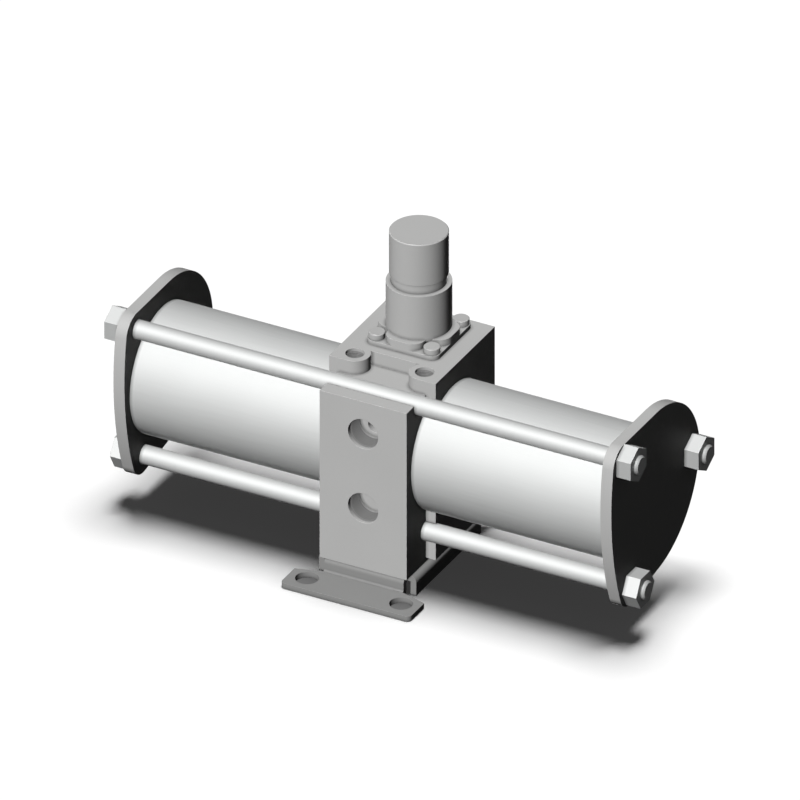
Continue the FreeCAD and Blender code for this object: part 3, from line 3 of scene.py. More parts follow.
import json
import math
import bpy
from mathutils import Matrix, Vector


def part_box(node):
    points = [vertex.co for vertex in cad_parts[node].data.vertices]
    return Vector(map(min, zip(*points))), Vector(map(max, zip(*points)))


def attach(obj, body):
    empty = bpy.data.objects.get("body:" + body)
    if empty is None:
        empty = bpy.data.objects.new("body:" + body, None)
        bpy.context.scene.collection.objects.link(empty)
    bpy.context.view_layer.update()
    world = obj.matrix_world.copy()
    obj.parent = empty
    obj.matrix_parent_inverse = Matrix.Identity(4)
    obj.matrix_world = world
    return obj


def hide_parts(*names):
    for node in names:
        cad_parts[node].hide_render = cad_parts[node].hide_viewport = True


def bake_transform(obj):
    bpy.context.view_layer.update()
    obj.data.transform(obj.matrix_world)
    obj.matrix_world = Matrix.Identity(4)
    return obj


bl_info = {
    "name": "Air Pressure Booster",
    "version": (1, 0, 0),
    "blender": (4, 5, 0),
    "location": "3D View > Sidebar > Booster",
    "description": "Finishes an air pressure booster, threads its ports, winds its springs and sets up a studio",
    "category": "Object",
}

import bpy
from bpy.props import FloatProperty, FloatVectorProperty, IntProperty, PointerProperty
from mathutils import Vector

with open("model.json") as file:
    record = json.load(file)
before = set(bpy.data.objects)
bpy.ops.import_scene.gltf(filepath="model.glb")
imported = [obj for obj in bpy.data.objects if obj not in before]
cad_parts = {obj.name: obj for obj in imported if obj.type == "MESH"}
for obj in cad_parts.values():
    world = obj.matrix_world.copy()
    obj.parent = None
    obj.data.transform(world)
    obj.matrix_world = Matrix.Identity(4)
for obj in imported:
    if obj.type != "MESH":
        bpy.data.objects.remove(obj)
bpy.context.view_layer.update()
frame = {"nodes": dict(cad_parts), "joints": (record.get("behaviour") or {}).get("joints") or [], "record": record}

NODES = frame["nodes"]
SLOT_OF = {part["node"]: part["material_slot"] for part in frame["record"]["subparts"]}
COLOUR_OF = {entry["slot"]: tuple(entry["base_color"][:3]) for entry in frame["record"]["materials"]}
MOUNTS = {mount["name"]: mount for mount in frame["record"]["mounts"]}

MM = 0.001


# Settings


def colour_property(slot, name, description):
    return FloatVectorProperty(
        name=name, description=description, default=COLOUR_OF[slot], size=3, subtype="COLOR", min=0, max=1
    )


class BoosterColours(bpy.types.PropertyGroup):
    """Base colours, one for each finish, outside and inside."""

    cast_body: colour_property("cast_body", "Body", "Paint on the valve body")
    bonnet_metal: colour_property("bonnet_metal", "Bonnet", "Paint on the bonnet")
    cover_metal: colour_property("cover_metal", "End covers", "Machined end covers")
    tube_metal: colour_property("tube_metal", "Tubes", "Anodised cylinder tubes")
    rod_steel: colour_property("rod_steel", "Tie rods", "Bright tie rods")
    nut_steel: colour_property("nut_steel", "Nuts", "Plated nuts and small turned parts")
    bracket_steel: colour_property("bracket_steel", "Bracket", "Plated sheet steel")
    screw_steel: colour_property("screw_steel", "Screws", "Plated screws")
    knob_plastic: colour_property("knob_plastic", "Knob", "Moulded knob")
    piston_metal: colour_property("piston_metal", "Pistons", "Turned pistons")
    ground_steel: colour_property("ground_steel", "Ground steel", "Piston rod, pins and spool")
    seal_rubber: colour_property("seal_rubber", "Seals", "Sealing rings and diaphragm")
    wear_plastic: colour_property("wear_plastic", "Wear rings", "Filled resin strip")
    bearing_brass: colour_property("bearing_brass", "Brass", "Bushes, seats and the nut on the screw")
    valve_plastic: colour_property("valve_plastic", "Valve plastic", "Poppets and cages")
    spring_steel: colour_property("spring_steel", "Springs", "Spring wire and clip")
    sleeve_metal: colour_property("sleeve_metal", "Sleeve", "Anodised valve sleeve")


class BoosterSurfaces(bpy.types.PropertyGroup):
    """Sizes and strengths of the surface detail."""

    grain_size: FloatProperty(
        name="Grain size", description="Size of the fine texture of the paint", default=1.1 * MM, min=0.1 * MM,
        max=10 * MM, unit="LENGTH", precision=5
    )
    patch_size: FloatProperty(
        name="Patch size", description="Size of the soft lighter and darker patches", default=30 * MM,
        min=1 * MM, max=300 * MM, unit="LENGTH", precision=4
    )
    line_size: FloatProperty(
        name="Line size", description="Distance between drawn or turned lines", default=0.5 * MM, min=0.05 * MM,
        max=5 * MM, unit="LENGTH", precision=5
    )
    edge_radius: FloatProperty(
        name="Edge radius", description="Rounding that the light sees along hard edges", default=0.25 * MM, min=0,
        max=3 * MM, unit="LENGTH", precision=5
    )
    edge_brightness: FloatProperty(
        name="Edge brightness", description="How much lighter the rubbed edges are", default=0.3, min=0, max=1,
        subtype="FACTOR"
    )
    # The two crease settings size the painted shade in inner corners and where pieces meet
    crease_reach: FloatProperty(
        name="Crease reach", description="How far the darker tone runs out of a corner", default=2 * MM, min=0,
        max=20 * MM, unit="LENGTH", precision=5
    )
    crease_depth: FloatProperty(
        name="Crease depth", description="How much darker the corners are", default=0.9, min=0, max=1,
        subtype="FACTOR"
    )


class BoosterThreads(bpy.types.PropertyGroup):
    """The threads drawn inside the ports."""

    pipe_pitch: FloatProperty(
        name="Port pitch", description="Pitch of the thread in the three large ports", default=1.337 * MM,
        min=0.5 * MM, max=3 * MM, unit="LENGTH", precision=6
    )
    gauge_pitch: FloatProperty(
        name="Gauge port pitch", description="Pitch of the thread in the two gauge ports", default=0.907 * MM,
        min=0.3 * MM, max=3 * MM, unit="LENGTH", precision=6
    )
    lead_in: FloatProperty(
        name="Lead-in", description="Plain length at the mouth of each port", default=1.2 * MM, min=0,
        max=5 * MM, unit="LENGTH", precision=5
    )
    # The shade setting darkens the threads' colour, as painted shade for the inside of the ports
    shade: FloatProperty(
        name="Shade", description="How bright the threads are beside the body's paint", default=0.45, min=0, max=1,
        subtype="FACTOR"
    )
    steps: IntProperty(
        name="Steps", description="Facets in one turn of a thread", default=48, min=12, max=128
    )


def wire_property(name, size):
    return FloatProperty(
        name=name + " wire", description="Thickness of the spring's wire", default=size, min=0.1 * MM, max=5 * MM,
        unit="LENGTH", precision=5
    )


def turns_property(name, turns):
    return IntProperty(
        name=name + " turns", description="How many turns the spring has", default=turns, min=1, max=20
    )


class BoosterSprings(bpy.types.PropertyGroup):
    """The wire of each kind of spring. Its length and width come from the spring's own box."""

    check_wire: wire_property("Check valve", 0.6 * MM)
    check_turns: turns_property("Check valve", 3)
    pilot_wire: wire_property("Pilot valve", 0.7 * MM)
    pilot_turns: turns_property("Pilot valve", 4)
    governor_wire: wire_property("Governor valve", 0.8 * MM)
    governor_turns: turns_property("Governor valve", 4)
    main_wire: wire_property("Main spring", 1.8 * MM)
    main_turns: turns_property("Main spring", 4)
    sides: IntProperty(name="Wire sides", description="Facets round the wire", default=12, min=6, max=32)
    steps: IntProperty(name="Steps", description="Facets in one turn of a spring", default=36, min=12, max=128)


class BoosterStudio(bpy.types.PropertyGroup):
    """The camera and the lights."""

    azimuth: FloatProperty(
        name="Azimuth", description="Camera's angle round the booster from the port side",
        default=math.radians(27.8), subtype="ANGLE", unit="ROTATION"
    )
    elevation: FloatProperty(
        name="Elevation", description="Camera's angle above the floor", default=math.radians(30.9),
        subtype="ANGLE", unit="ROTATION"
    )
    view_width: FloatProperty(
        name="View width", description="Width that the camera takes in", default=0.3985, min=0.05, max=5,
        unit="LENGTH"
    )
    view_height: FloatProperty(
        name="View height", description="Height over the floor of the point in the middle of the picture",
        default=88 * MM, unit="LENGTH"
    )
    front_strength: FloatProperty(
        name="Front light", description="Strength of the light from the front", default=3.9, min=0, max=20
    )
    rear_strength: FloatProperty(
        name="Rear light", description="Strength of the light behind and below, for the far side", default=1.8,
        min=0, max=20
    )
    floor_strength: FloatProperty(
        name="Floor light", description="Strength of the light over the floor", default=math.pi, min=0, max=20
    )
    surroundings: FloatProperty(
        name="Surroundings", description="How much light comes from all round", default=0.015, min=0, max=1
    )
    mirrored: FloatProperty(
        name="Mirrored", description="How bright the white surroundings look in a reflection", default=0.05, min=0,
        max=1, subtype="FACTOR"
    )
    shadow_depth: FloatProperty(
        name="Shadow depth", description="Brightness of the floor's darkest shadow", default=0.035, min=0, max=1,
        subtype="FACTOR"
    )
    shadow_softness: FloatProperty(
        name="Shadow softness", description="Angle of the light that makes the floor's shadow",
        default=math.radians(27), min=0, max=math.pi, subtype="ANGLE", unit="ROTATION"
    )
    hole_shade: FloatProperty(
        name="Hole shade", description="Brightness of the floor seen through the foot holes", default=0.2, min=0,
        max=1, subtype="FACTOR"
    )


def finish_settings(context):
    return context.scene.booster_colours, context.scene.booster_surfaces


# Node groups


VECTOR, COLOUR, NUMBER = "NodeSocketVector", "NodeSocketColor", "NodeSocketFloat"
PLAIN_GREY = (0.5, 0.5, 0.5, 1)

EDGE_SAMPLES = 6
EDGE_SHARPNESS = 4.0
EDGE_UNBROKEN = 0.75
CREASE_SHADE_SAMPLES = 8


def new_group(name, inputs, outputs):
    """An empty shader node group with its sockets, and its two end nodes."""
    tree = bpy.data.node_groups.new(name, "ShaderNodeTree")
    for socket_name, kind, default in inputs:
        socket = tree.interface.new_socket(name=socket_name, in_out="INPUT", socket_type=kind)
        if default is not None:
            socket.default_value = default
    for socket_name, kind in outputs:
        tree.interface.new_socket(name=socket_name, in_out="OUTPUT", socket_type=kind)
    return tree, tree.nodes.new("NodeGroupInput"), tree.nodes.new("NodeGroupOutput")


def math_node(tree, operation, *values):
    """One calculation on plain numbers or on what other nodes put out."""
    node = tree.nodes.new("ShaderNodeMath")
    node.operation = operation
    for socket, value in zip(node.inputs, values):
        if isinstance(value, (int, float)):
            socket.default_value = value
        else:
            tree.links.new(value, socket)
    return node.outputs[0]


def tone(tree, colour, change):
    """The colour, made lighter or darker by change: 0 leaves it alone."""
    node = tree.nodes.new("ShaderNodeHueSaturation")
    tree.links.new(math_node(tree, "ADD", change, 1.0), node.inputs["Value"])
    tree.links.new(colour, node.inputs["Color"])
    return node.outputs["Color"]


def noise(tree, vector, scale, detail, roughness):
    """Smooth random values to either side of 0."""
    node = tree.nodes.new("ShaderNodeTexNoise")
    node.inputs["Detail"].default_value = detail
    node.inputs["Roughness"].default_value = roughness
    tree.links.new(vector, node.inputs["Vector"])
    tree.links.new(scale, node.inputs["Scale"])
    return math_node(tree, "SUBTRACT", node.outputs["Fac"], 0.5)


def texture_group(name, own_inputs):
    """A group with the sockets that every texture has, and its own ones."""
    return new_group(
        name,
        [
            ("Vector", VECTOR, None),
            ("Color", COLOUR, PLAIN_GREY),
            *own_inputs,
            ("Patch Scale", NUMBER, 33.0),
            ("Patch Tone", NUMBER, 0.05),
            ("Roughness", NUMBER, 0.5),
            ("Roughness Spread", NUMBER, 0.1),
        ],
        [("Color", COLOUR), ("Roughness", NUMBER), ("Height", NUMBER)],
    )


def put_out(tree, start, end, texture, texture_tone, patch, rougher):
    """Links a texture and its soft patches to the group's colour, roughness and height."""
    change = math_node(
        tree, "ADD",
        math_node(tree, "MULTIPLY", texture, texture_tone),
        math_node(tree, "MULTIPLY", patch, start.outputs["Patch Tone"]),
    )
    tree.links.new(tone(tree, start.outputs["Color"], change), end.inputs["Color"])
    spread = math_node(tree, "MULTIPLY", rougher, start.outputs["Roughness Spread"])
    tree.links.new(math_node(tree, "ADD", start.outputs["Roughness"], spread), end.inputs["Roughness"])
    tree.links.new(texture, end.inputs["Height"])


def patches(tree, start):
    return noise(tree, start.outputs["Vector"], start.outputs["Patch Scale"], detail=3.0, roughness=0.5)


def grain_group():
    """Fine even texture over soft patches, as on paint, rubber and moulded plastic."""
    tree, start, end = texture_group(
        "fine_grain", [("Grain Scale", NUMBER, 900.0), ("Grain Tone", NUMBER, 0.05)]
    )
    fine = noise(tree, start.outputs["Vector"], start.outputs["Grain Scale"], detail=4.0, roughness=0.55)
    patch = patches(tree, start)
    put_out(tree, start, end, fine, start.outputs["Grain Tone"], patch, rougher=patch)
    return tree


def lines_group():
    """Fine parallel lines, as drawing, turning or rolling leaves them. Stretch has 1 across the lines."""
    tree, start, end = texture_group(
        "tool_lines",
        [("Stretch", VECTOR, (0.02, 1.0, 1.0)), ("Line Scale", NUMBER, 2000.0), ("Line Tone", NUMBER, 0.08)],
    )
    stretched = tree.nodes.new("ShaderNodeVectorMath")
    stretched.operation = "MULTIPLY"
    tree.links.new(start.outputs["Vector"], stretched.inputs[0])
    tree.links.new(start.outputs["Stretch"], stretched.inputs[1])
    lines = noise(tree, stretched.outputs[0], start.outputs["Line Scale"], detail=3.0, roughness=0.6)
    put_out(tree, start, end, lines, start.outputs["Line Tone"], patches(tree, start), rougher=lines)
    return tree


def edge_group():
    """Rounds hard edges for the light and rubs them lighter, in broken patches."""
    tree, start, end = new_group(
        "rubbed_edges",
        [
            ("Vector", VECTOR, None),
            ("Color", COLOUR, PLAIN_GREY),
            ("Radius", NUMBER, 0.0004),
            ("Brightness", NUMBER, 0.3),
            ("Break Scale", NUMBER, 120.0),
        ],
        [("Color", COLOUR), ("Normal", VECTOR)],
    )
    bevel = tree.nodes.new("ShaderNodeBevel")
    bevel.samples = EDGE_SAMPLES
    tree.links.new(start.outputs["Radius"], bevel.inputs["Radius"])
    geometry = tree.nodes.new("ShaderNodeNewGeometry")
    alike = tree.nodes.new("ShaderNodeVectorMath")
    alike.operation = "DOT_PRODUCT"
    tree.links.new(bevel.outputs["Normal"], alike.inputs[0])
    tree.links.new(geometry.outputs["Normal"], alike.inputs[1])
    turned = math_node(tree, "SUBTRACT", 1.0, alike.outputs["Value"])
    mask = math_node(tree, "MULTIPLY", turned, EDGE_SHARPNESS)
    broken = noise(tree, start.outputs["Vector"], start.outputs["Break Scale"], detail=4.0, roughness=0.6)
    worn = math_node(tree, "MULTIPLY", mask, math_node(tree, "ADD", broken, EDGE_UNBROKEN))
    lift = math_node(tree, "MULTIPLY", math_node(tree, "MINIMUM", worn, 1.0), start.outputs["Brightness"])
    tree.links.new(tone(tree, start.outputs["Color"], lift), end.inputs["Color"])
    tree.links.new(bevel.outputs["Normal"], end.inputs["Normal"])
    return tree


def crease_shade_group():
    """Painted shade: darkens inner corners and the lines where pieces meet, where shade would fall."""
    tree, start, end = new_group(
        "dark_creases",
        [("Color", COLOUR, PLAIN_GREY), ("Reach", NUMBER, 0.0015), ("Depth", NUMBER, 0.5)],
        [("Color", COLOUR)],
    )
    open_air = tree.nodes.new("ShaderNodeAmbientOcclusion")
    open_air.samples = CREASE_SHADE_SAMPLES
    tree.links.new(start.outputs["Reach"], open_air.inputs["Distance"])
    closed = math_node(tree, "SUBTRACT", 1.0, open_air.outputs["AO"])
    drop = math_node(tree, "MULTIPLY", closed, start.outputs["Depth"])
    darker = tone(tree, start.outputs["Color"], math_node(tree, "MULTIPLY", drop, -1.0))
    tree.links.new(darker, end.inputs["Color"])
    return tree


GROUPS = {
    "fine_grain": grain_group,
    "tool_lines": lines_group,
    "rubbed_edges": edge_group,
    "dark_creases": crease_shade_group,
}


def use_group(tree, name, **values):
    """The named group placed in a material, built the first time that it is asked for."""
    node = tree.nodes.new("ShaderNodeGroup")
    node.node_tree = bpy.data.node_groups.get(name) or GROUPS[name]()
    for key, value in values.items():
        node.inputs[key.replace("_", " ").title()].default_value = value
    return node


# Materials


GRAIN_HEIGHT, LINE_HEIGHT = 0.05 * MM, 0.02 * MM
LINE_BUMP = 0.2

# The tone of the soft patches beside that of the texture, and how much the roughness varies
GRAINED_PATCHES, LINED_PATCHES = 1.2, 0.6
GRAINED_SPREAD, LINED_SPREAD = 0.12, 0.15

# How lines are stretched: under 1 is along them, 1 is across
ALONG_X = (0.02, 1.0, 1.0)
ROUND_X = (1.0, 0.04, 0.04)
ROUND_Z = (0.04, 0.04, 1.0)
SHORT = (0.3, 1.0, 1.0)


def start_material(name):
    """A new material, its node tree and its shader."""
    material = bpy.data.materials.new(name)
    material.use_nodes = True
    tree = material.node_tree
    return material, tree, tree.nodes["Principled BSDF"]


def build_surface(name, surfaces, texture, height, bump, specular, metallic, edges, **values):
    """A material with a texture group, rubbed edges, painted shade in its creases and a faint relief."""
    material, tree, shader = start_material(name)
    vector = tree.nodes.new("ShaderNodeTexCoord").outputs["Object"]
    surface = use_group(tree, texture, patch_scale=1 / surfaces.patch_size, **values)
    edge = use_group(
        tree, "rubbed_edges", radius=surfaces.edge_radius * edges, brightness=surfaces.edge_brightness
    )
    # Painted shade in the creases darkens the colour after the edges are rubbed
    crease_shade = use_group(tree, "dark_creases", reach=surfaces.crease_reach, depth=surfaces.crease_depth)
    relief = tree.nodes.new("ShaderNodeBump")
    relief.inputs["Strength"].default_value = bump
    relief.inputs["Distance"].default_value = height
    for source, target in (
        (vector, surface.inputs["Vector"]),
        (vector, edge.inputs["Vector"]),
        (surface.outputs["Color"], edge.inputs["Color"]),
        (edge.outputs["Color"], crease_shade.inputs["Color"]),
        (crease_shade.outputs["Color"], shader.inputs["Base Color"]),
        (surface.outputs["Roughness"], shader.inputs["Roughness"]),
        (surface.outputs["Height"], relief.inputs["Height"]),
        (edge.outputs["Normal"], relief.inputs["Normal"]),
        (relief.outputs["Normal"], shader.inputs["Normal"]),
    ):
        tree.links.new(source, target)
    shader.inputs["Specular IOR Level"].default_value = specular
    shader.inputs["Metallic"].default_value = metallic
    return material


def grained(name, colour, surfaces, roughness, grain=1.0, tone_spread=0.05, bump=0.25, specular=0.3, edges=1.0):
    """Paint, plastic or rubber with a fine even grain. A larger grain value is a finer grain."""
    return build_surface(
        name, surfaces, "fine_grain", GRAIN_HEIGHT, bump, specular, 0.0, edges, color=(*colour, 1),
        grain_scale=grain / surfaces.grain_size, grain_tone=tone_spread, patch_tone=tone_spread * GRAINED_PATCHES,
        roughness=roughness, roughness_spread=GRAINED_SPREAD,
    )


def lined(name, colour, surfaces, roughness, stretch, tone_spread=0.08, specular=0.4, metallic=0.0, edges=1.0):
    """Metal with the fine lines of drawing, turning or rolling."""
    return build_surface(
        name, surfaces, "tool_lines", LINE_HEIGHT, LINE_BUMP, specular, metallic, edges, color=(*colour, 1),
        stretch=stretch, line_scale=1 / surfaces.line_size, line_tone=tone_spread,
        patch_tone=tone_spread * LINED_PATCHES, roughness=roughness, roughness_spread=LINED_SPREAD,
    )


FINISHES = {
    "cast_body": (grained, {"roughness": 0.62, "specular": 0.15}),
    "bonnet_metal": (grained, {"roughness": 0.6, "specular": 0.15}),
    "cover_metal": (grained, {"roughness": 0.55, "grain": 1.4, "bump": 0.15, "specular": 0.12}),
    "tube_metal": (lined, {"roughness": 0.78, "stretch": ALONG_X, "metallic": 0.55, "edges": 0.6}),
    "rod_steel": (lined, {"roughness": 0.74, "stretch": ROUND_X, "metallic": 0.55, "edges": 0.6}),
    "nut_steel": (lined, {"roughness": 0.62, "stretch": SHORT, "metallic": 0.5}),
    "bracket_steel": (lined, {"roughness": 0.5, "stretch": ALONG_X, "specular": 0.2}),
    "screw_steel": (lined, {"roughness": 0.4, "stretch": ROUND_Z, "specular": 0.35, "edges": 0.6}),
    "knob_plastic": (grained, {"roughness": 0.5, "grain": 2.0, "bump": 0.12, "specular": 0.25}),
    "piston_metal": (lined, {"roughness": 0.35, "stretch": ROUND_X, "metallic": 1.0}),
    "ground_steel": (lined, {"roughness": 0.2, "stretch": ROUND_X, "tone_spread": 0.04, "metallic": 1.0}),
    "seal_rubber": (grained, {"roughness": 0.7, "grain": 3.0, "edges": 0.3}),
    "wear_plastic": (grained, {"roughness": 0.6, "grain": 3.0, "tone_spread": 0.15, "edges": 0.3}),
    "bearing_brass": (lined, {"roughness": 0.3, "stretch": ROUND_X, "metallic": 1.0, "edges": 0.4}),
    "valve_plastic": (grained, {"roughness": 0.5, "grain": 2.5, "edges": 0.3}),
    "spring_steel": (lined, {"roughness": 0.3, "stretch": SHORT, "metallic": 1.0, "edges": 0.2}),
    "sleeve_metal": (lined, {"roughness": 0.4, "stretch": ROUND_X, "metallic": 1.0, "edges": 0.3}),
}


def dress_nodes(slots, context):
    """Gives each CAD node of these slots its finish."""
    colours, surfaces = finish_settings(context)
    materials = {}
    for slot in slots:
        build, values = FINISHES[slot]
        materials[slot] = build(slot, getattr(colours, slot), surfaces, **values)
    for node, slot in SLOT_OF.items():
        if slot in materials:
            NODES[node].material_slots[0].material = materials[slot]


class BOOSTER_OT_finish_castings(bpy.types.Operator):
    """Paint the body, the bonnet, the end covers and the knob"""

    bl_idname = "booster.finish_castings"
    bl_label = "Finish castings"

    def execute(self, context):
        dress_nodes(("cast_body", "bonnet_metal", "cover_metal", "knob_plastic"), context)
        return {"FINISHED"}


class BOOSTER_OT_finish_metalwork(bpy.types.Operator):
    """Finish the tubes, tie rods, nuts, screws and bracket"""

    bl_idname = "booster.finish_metalwork"
    bl_label = "Finish metalwork"

    def execute(self, context):
        dress_nodes(("tube_metal", "rod_steel", "nut_steel", "bracket_steel", "screw_steel"), context)
        return {"FINISHED"}


class BOOSTER_OT_finish_workings(bpy.types.Operator):
    """Finish the pistons, valves, seals and springs inside"""

    bl_idname = "booster.finish_workings"
    bl_label = "Finish workings"

    def execute(self, context):
        slots = (
            "piston_metal", "ground_steel", "seal_rubber", "wear_plastic", "bearing_brass", "valve_plastic",
            "spring_steel", "sleeve_metal",
        )
        dress_nodes(slots, context)
        return {"FINISHED"}


# Threads in the ports


MERGE_DISTANCE = 0.001 * MM
SMOOTH_ANGLE = math.radians(50)

# A thread's ridge: its height and half its foot as shares of the pitch, and how far the foot is sunk in the bore
RIDGE_HEIGHT = 0.55
RIDGE_HALF_FOOT = 0.42
RIDGE_SUNK = 0.05 * MM


def aim(thing, axis, place):
    """Puts a thing in its place with its Z along the axis."""
    thing.rotation_mode = "QUATERNION"
    thing.rotation_quaternion = axis.to_track_quat("Z", "Y")
    thing.location = place


def seat(piece, axis, place):
    """Aims a piece and applies its place, so that its object stays at the origin."""
    aim(piece, axis, place)
    bpy.ops.object.select_all(action="DESELECT")
    piece.select_set(True)
    bpy.context.view_layer.objects.active = piece
    bpy.ops.object.transform_apply(location=True, rotation=True, scale=True)


def upright_circle(name, sides, radius, out, fill):
    """A circle that stands on edge, out from the Z axis, as the section of a helix."""
    bpy.ops.object.select_all(action="DESELECT")
    bpy.ops.mesh.primitive_circle_add(
        vertices=sides, radius=radius, fill_type=fill, location=(out, 0, 0), rotation=(math.pi / 2, 0, 0)
    )
    section = bpy.context.object
    section.name = name
    bpy.ops.object.transform_apply(location=True, rotation=True, scale=True)
    return section


def wind_up(section, pitch, turns, steps):
    """Winds a flat section round Z into a solid helix with closed ends."""
    screw = section.modifiers.new("helix", "SCREW")
    screw.axis = "Z"
    screw.screw_offset = pitch
    screw.iterations = turns
    screw.steps = steps
    screw.render_steps = steps
    screw.use_merge_vertices = True
    screw.merge_threshold = MERGE_DISTANCE
    bpy.ops.object.modifier_apply(modifier=screw.name)
    bpy.ops.object.mode_set(mode="EDIT")
    bpy.ops.mesh.select_all(action="SELECT")
    bpy.ops.mesh.remove_doubles(threshold=MERGE_DISTANCE)
    bpy.ops.mesh.select_all(action="DESELECT")
    bpy.ops.mesh.select_non_manifold()
    bpy.ops.mesh.edge_face_add()
    bpy.ops.mesh.select_all(action="SELECT")
    bpy.ops.mesh.normals_make_consistent(inside=False)
    bpy.ops.object.mode_set(mode="OBJECT")
    bpy.ops.object.shade_smooth_by_angle(angle=SMOOTH_ANGLE)


def cut_thread(name, radius, length, pitch, steps):
    """A thread's ridge, standing in from a bore that runs up Z from the origin."""
    ridge = upright_circle(name, 3, pitch / 2, radius, "NGON")
    half_foot = pitch * RIDGE_HALF_FOOT
    corners = ((pitch * RIDGE_HEIGHT, 0.0), (-RIDGE_SUNK, half_foot), (-RIDGE_SUNK, -half_foot))
    for vertex, (inward, along) in zip(ridge.data.vertices, corners):
        vertex.co = Vector((radius - inward, 0, along))
    wind_up(ridge, pitch, int(length / pitch), steps)
    return ridge


class BOOSTER_OT_thread_ports(bpy.types.Operator):
    """Cut the threads in the ports and gauge ports"""

    bl_idname = "booster.thread_ports"
    bl_label = "Thread ports"

    def execute(self, context):
        threads = context.scene.booster_threads
        colours, surfaces = finish_settings(context)
        # Painted shade: the threads take the body's paint made darker, standing in for the shade deep inside the
        # ports
        colour = [channel * threads.shade for channel in colours.cast_body]
        material = grained("port_thread", colour, surfaces, 0.6, specular=0.1, edges=0.3)
        pitches = {
            "in_port": threads.pipe_pitch,
            "out_port": threads.pipe_pitch,
            "exhaust_port": threads.pipe_pitch,
            "gauge_port_left": threads.gauge_pitch,
            "gauge_port_right": threads.gauge_pitch,
        }
        for name, pitch in pitches.items():
            mount = MOUNTS[name]
            axis = Vector(mount["axis"])
            depth = mount["dims"]["length_mm"] * MM
            ridge = cut_thread(
                name + "_thread", mount["dims"]["r_mm"] * MM, depth - threads.lead_in - pitch, pitch, threads.steps
            )
            seat(ridge, axis, Vector(mount["pos_m"]) - axis * (depth - pitch))
            ridge.data.materials.append(material)
            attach(ridge, "housing")
        return {"FINISHED"}


# Springs


def spring_ends(node, entry):
    """The middles of a spring's seat and of its moving end, and its outer radius, from its box."""
    low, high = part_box(node)
    letter = entry["mode"][-1]
    along = "xyz".index(letter)
    still, moving = (low + high) / 2, (low + high) / 2
    still[along] = entry["fixed_end_%s_m" % letter]
    moving[along] = max(low[along], high[along], key=lambda end: abs(end - still[along]))
    return still, moving, (high - low)[(along + 1) % 3] / 2


def wind_spring(node, entry, sizes):
    """A round-wire spring in place of the plain one, from its seat to its moving end."""
    kind = next((name for name in ("pilot", "governor", "main") if node.startswith(name)), "check")
    wire, turns = getattr(sizes, kind + "_wire"), getattr(sizes, kind + "_turns")
    still, moving, outer = spring_ends(node, entry)
    axis = moving - still
    spring = upright_circle(node + "_coil", sizes.sides, wire / 2, outer - wire / 2, "NOTHING")
    wind_up(spring, (axis.length - wire) / turns, turns, sizes.steps)
    seat(spring, axis, still + axis.normalized() * wire / 2)
    return spring, still, moving


class BOOSTER_OT_wind_springs(bpy.types.Operator):
    """Wind the springs of round wire in place of the plain ones"""

    bl_idname = "booster.wind_springs"
    bl_label = "Wind springs"

    def execute(self, context):
        for joint in frame["joints"]:
            for entry in joint.get("deforming_nodes") or []:
                node = entry["node"]
                if "spring" not in node:
                    continue
                spring, still, moving = wind_spring(node, entry, context.scene.booster_springs)
                spring.data.materials.append(NODES[node].material_slots[0].material)
                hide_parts(node)
                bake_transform(spring)
        return {"FINISHED"}


# Studio


FLOOR_SIZE = 12
DULL_FLOOR = (0.03, 0.03, 0.03, 1)
HOLE_SHADE_MARGIN = 3 * MM
HOLE_SHADE_SOFTNESS = 2 * MM

# Where the lights stand, seen from the middle of the floor
FRONT_LIGHT_SIDE = (-0.02, -0.67, 0.74)
REAR_LIGHT_SIDE = (-0.4, 0.76, -0.51)
FLOOR_LIGHT_SIDE = (0, 0.07, 1)
FRONT_LIGHT_ANGLE = math.radians(8)
REAR_LIGHT_ANGLE = math.radians(30)
LIGHT_DISTANCE = 0.6
CAMERA_DISTANCE = 1.5


def seen_brightness(tree, mirrored):
    """1 for what the camera sees, mirrored for what metal or glass shows of it, and 0 for scattered light."""
    path = tree.nodes.new("ShaderNodeLightPath")
    shine = math_node(tree, "MAXIMUM", path.outputs["Is Glossy Ray"], path.outputs["Is Transmission Ray"])
    return math_node(tree, "MAXIMUM", path.outputs["Is Camera Ray"], math_node(tree, "MULTIPLY", shine, mirrored))


def inside(tree, value, edge, soft):
    """1 where the value is well under the edge, fading to 0 over the soft width before it."""
    fade = tree.nodes.new("ShaderNodeMapRange")
    fade.interpolation_type = "SMOOTHSTEP"
    tree.links.new(value, fade.inputs["Value"])
    fade.inputs["From Min"].default_value = edge
    fade.inputs["From Max"].default_value = edge - soft
    return fade.outputs["Result"]


def floor_brightness(tree, hole_shade):
    """White, but for a soft round shade on the floor under each of the four foot holes."""
    holes = MOUNTS["foot_holes"]["dims"]
    place = tree.nodes.new("ShaderNodeSeparateXYZ")
    tree.links.new(tree.nodes.new("ShaderNodeTexCoord").outputs["Object"], place.inputs[0])
    squares = []
    for axis, pitch in (("X", holes["spacing_x_mm"]), ("Y", holes["spacing_y_mm"])):
        off = math_node(tree, "SUBTRACT", math_node(tree, "ABSOLUTE", place.outputs[axis]), pitch / 2 * MM)
        squares.append(math_node(tree, "MULTIPLY", off, off))
    distance = math_node(tree, "SQRT", math_node(tree, "ADD", *squares))
    under = inside(tree, distance, holes["hole_r_mm"] * MM + HOLE_SHADE_MARGIN, HOLE_SHADE_SOFTNESS)
    return math_node(tree, "SUBTRACT", 1.0, math_node(tree, "MULTIPLY", under, 1 - hole_shade))


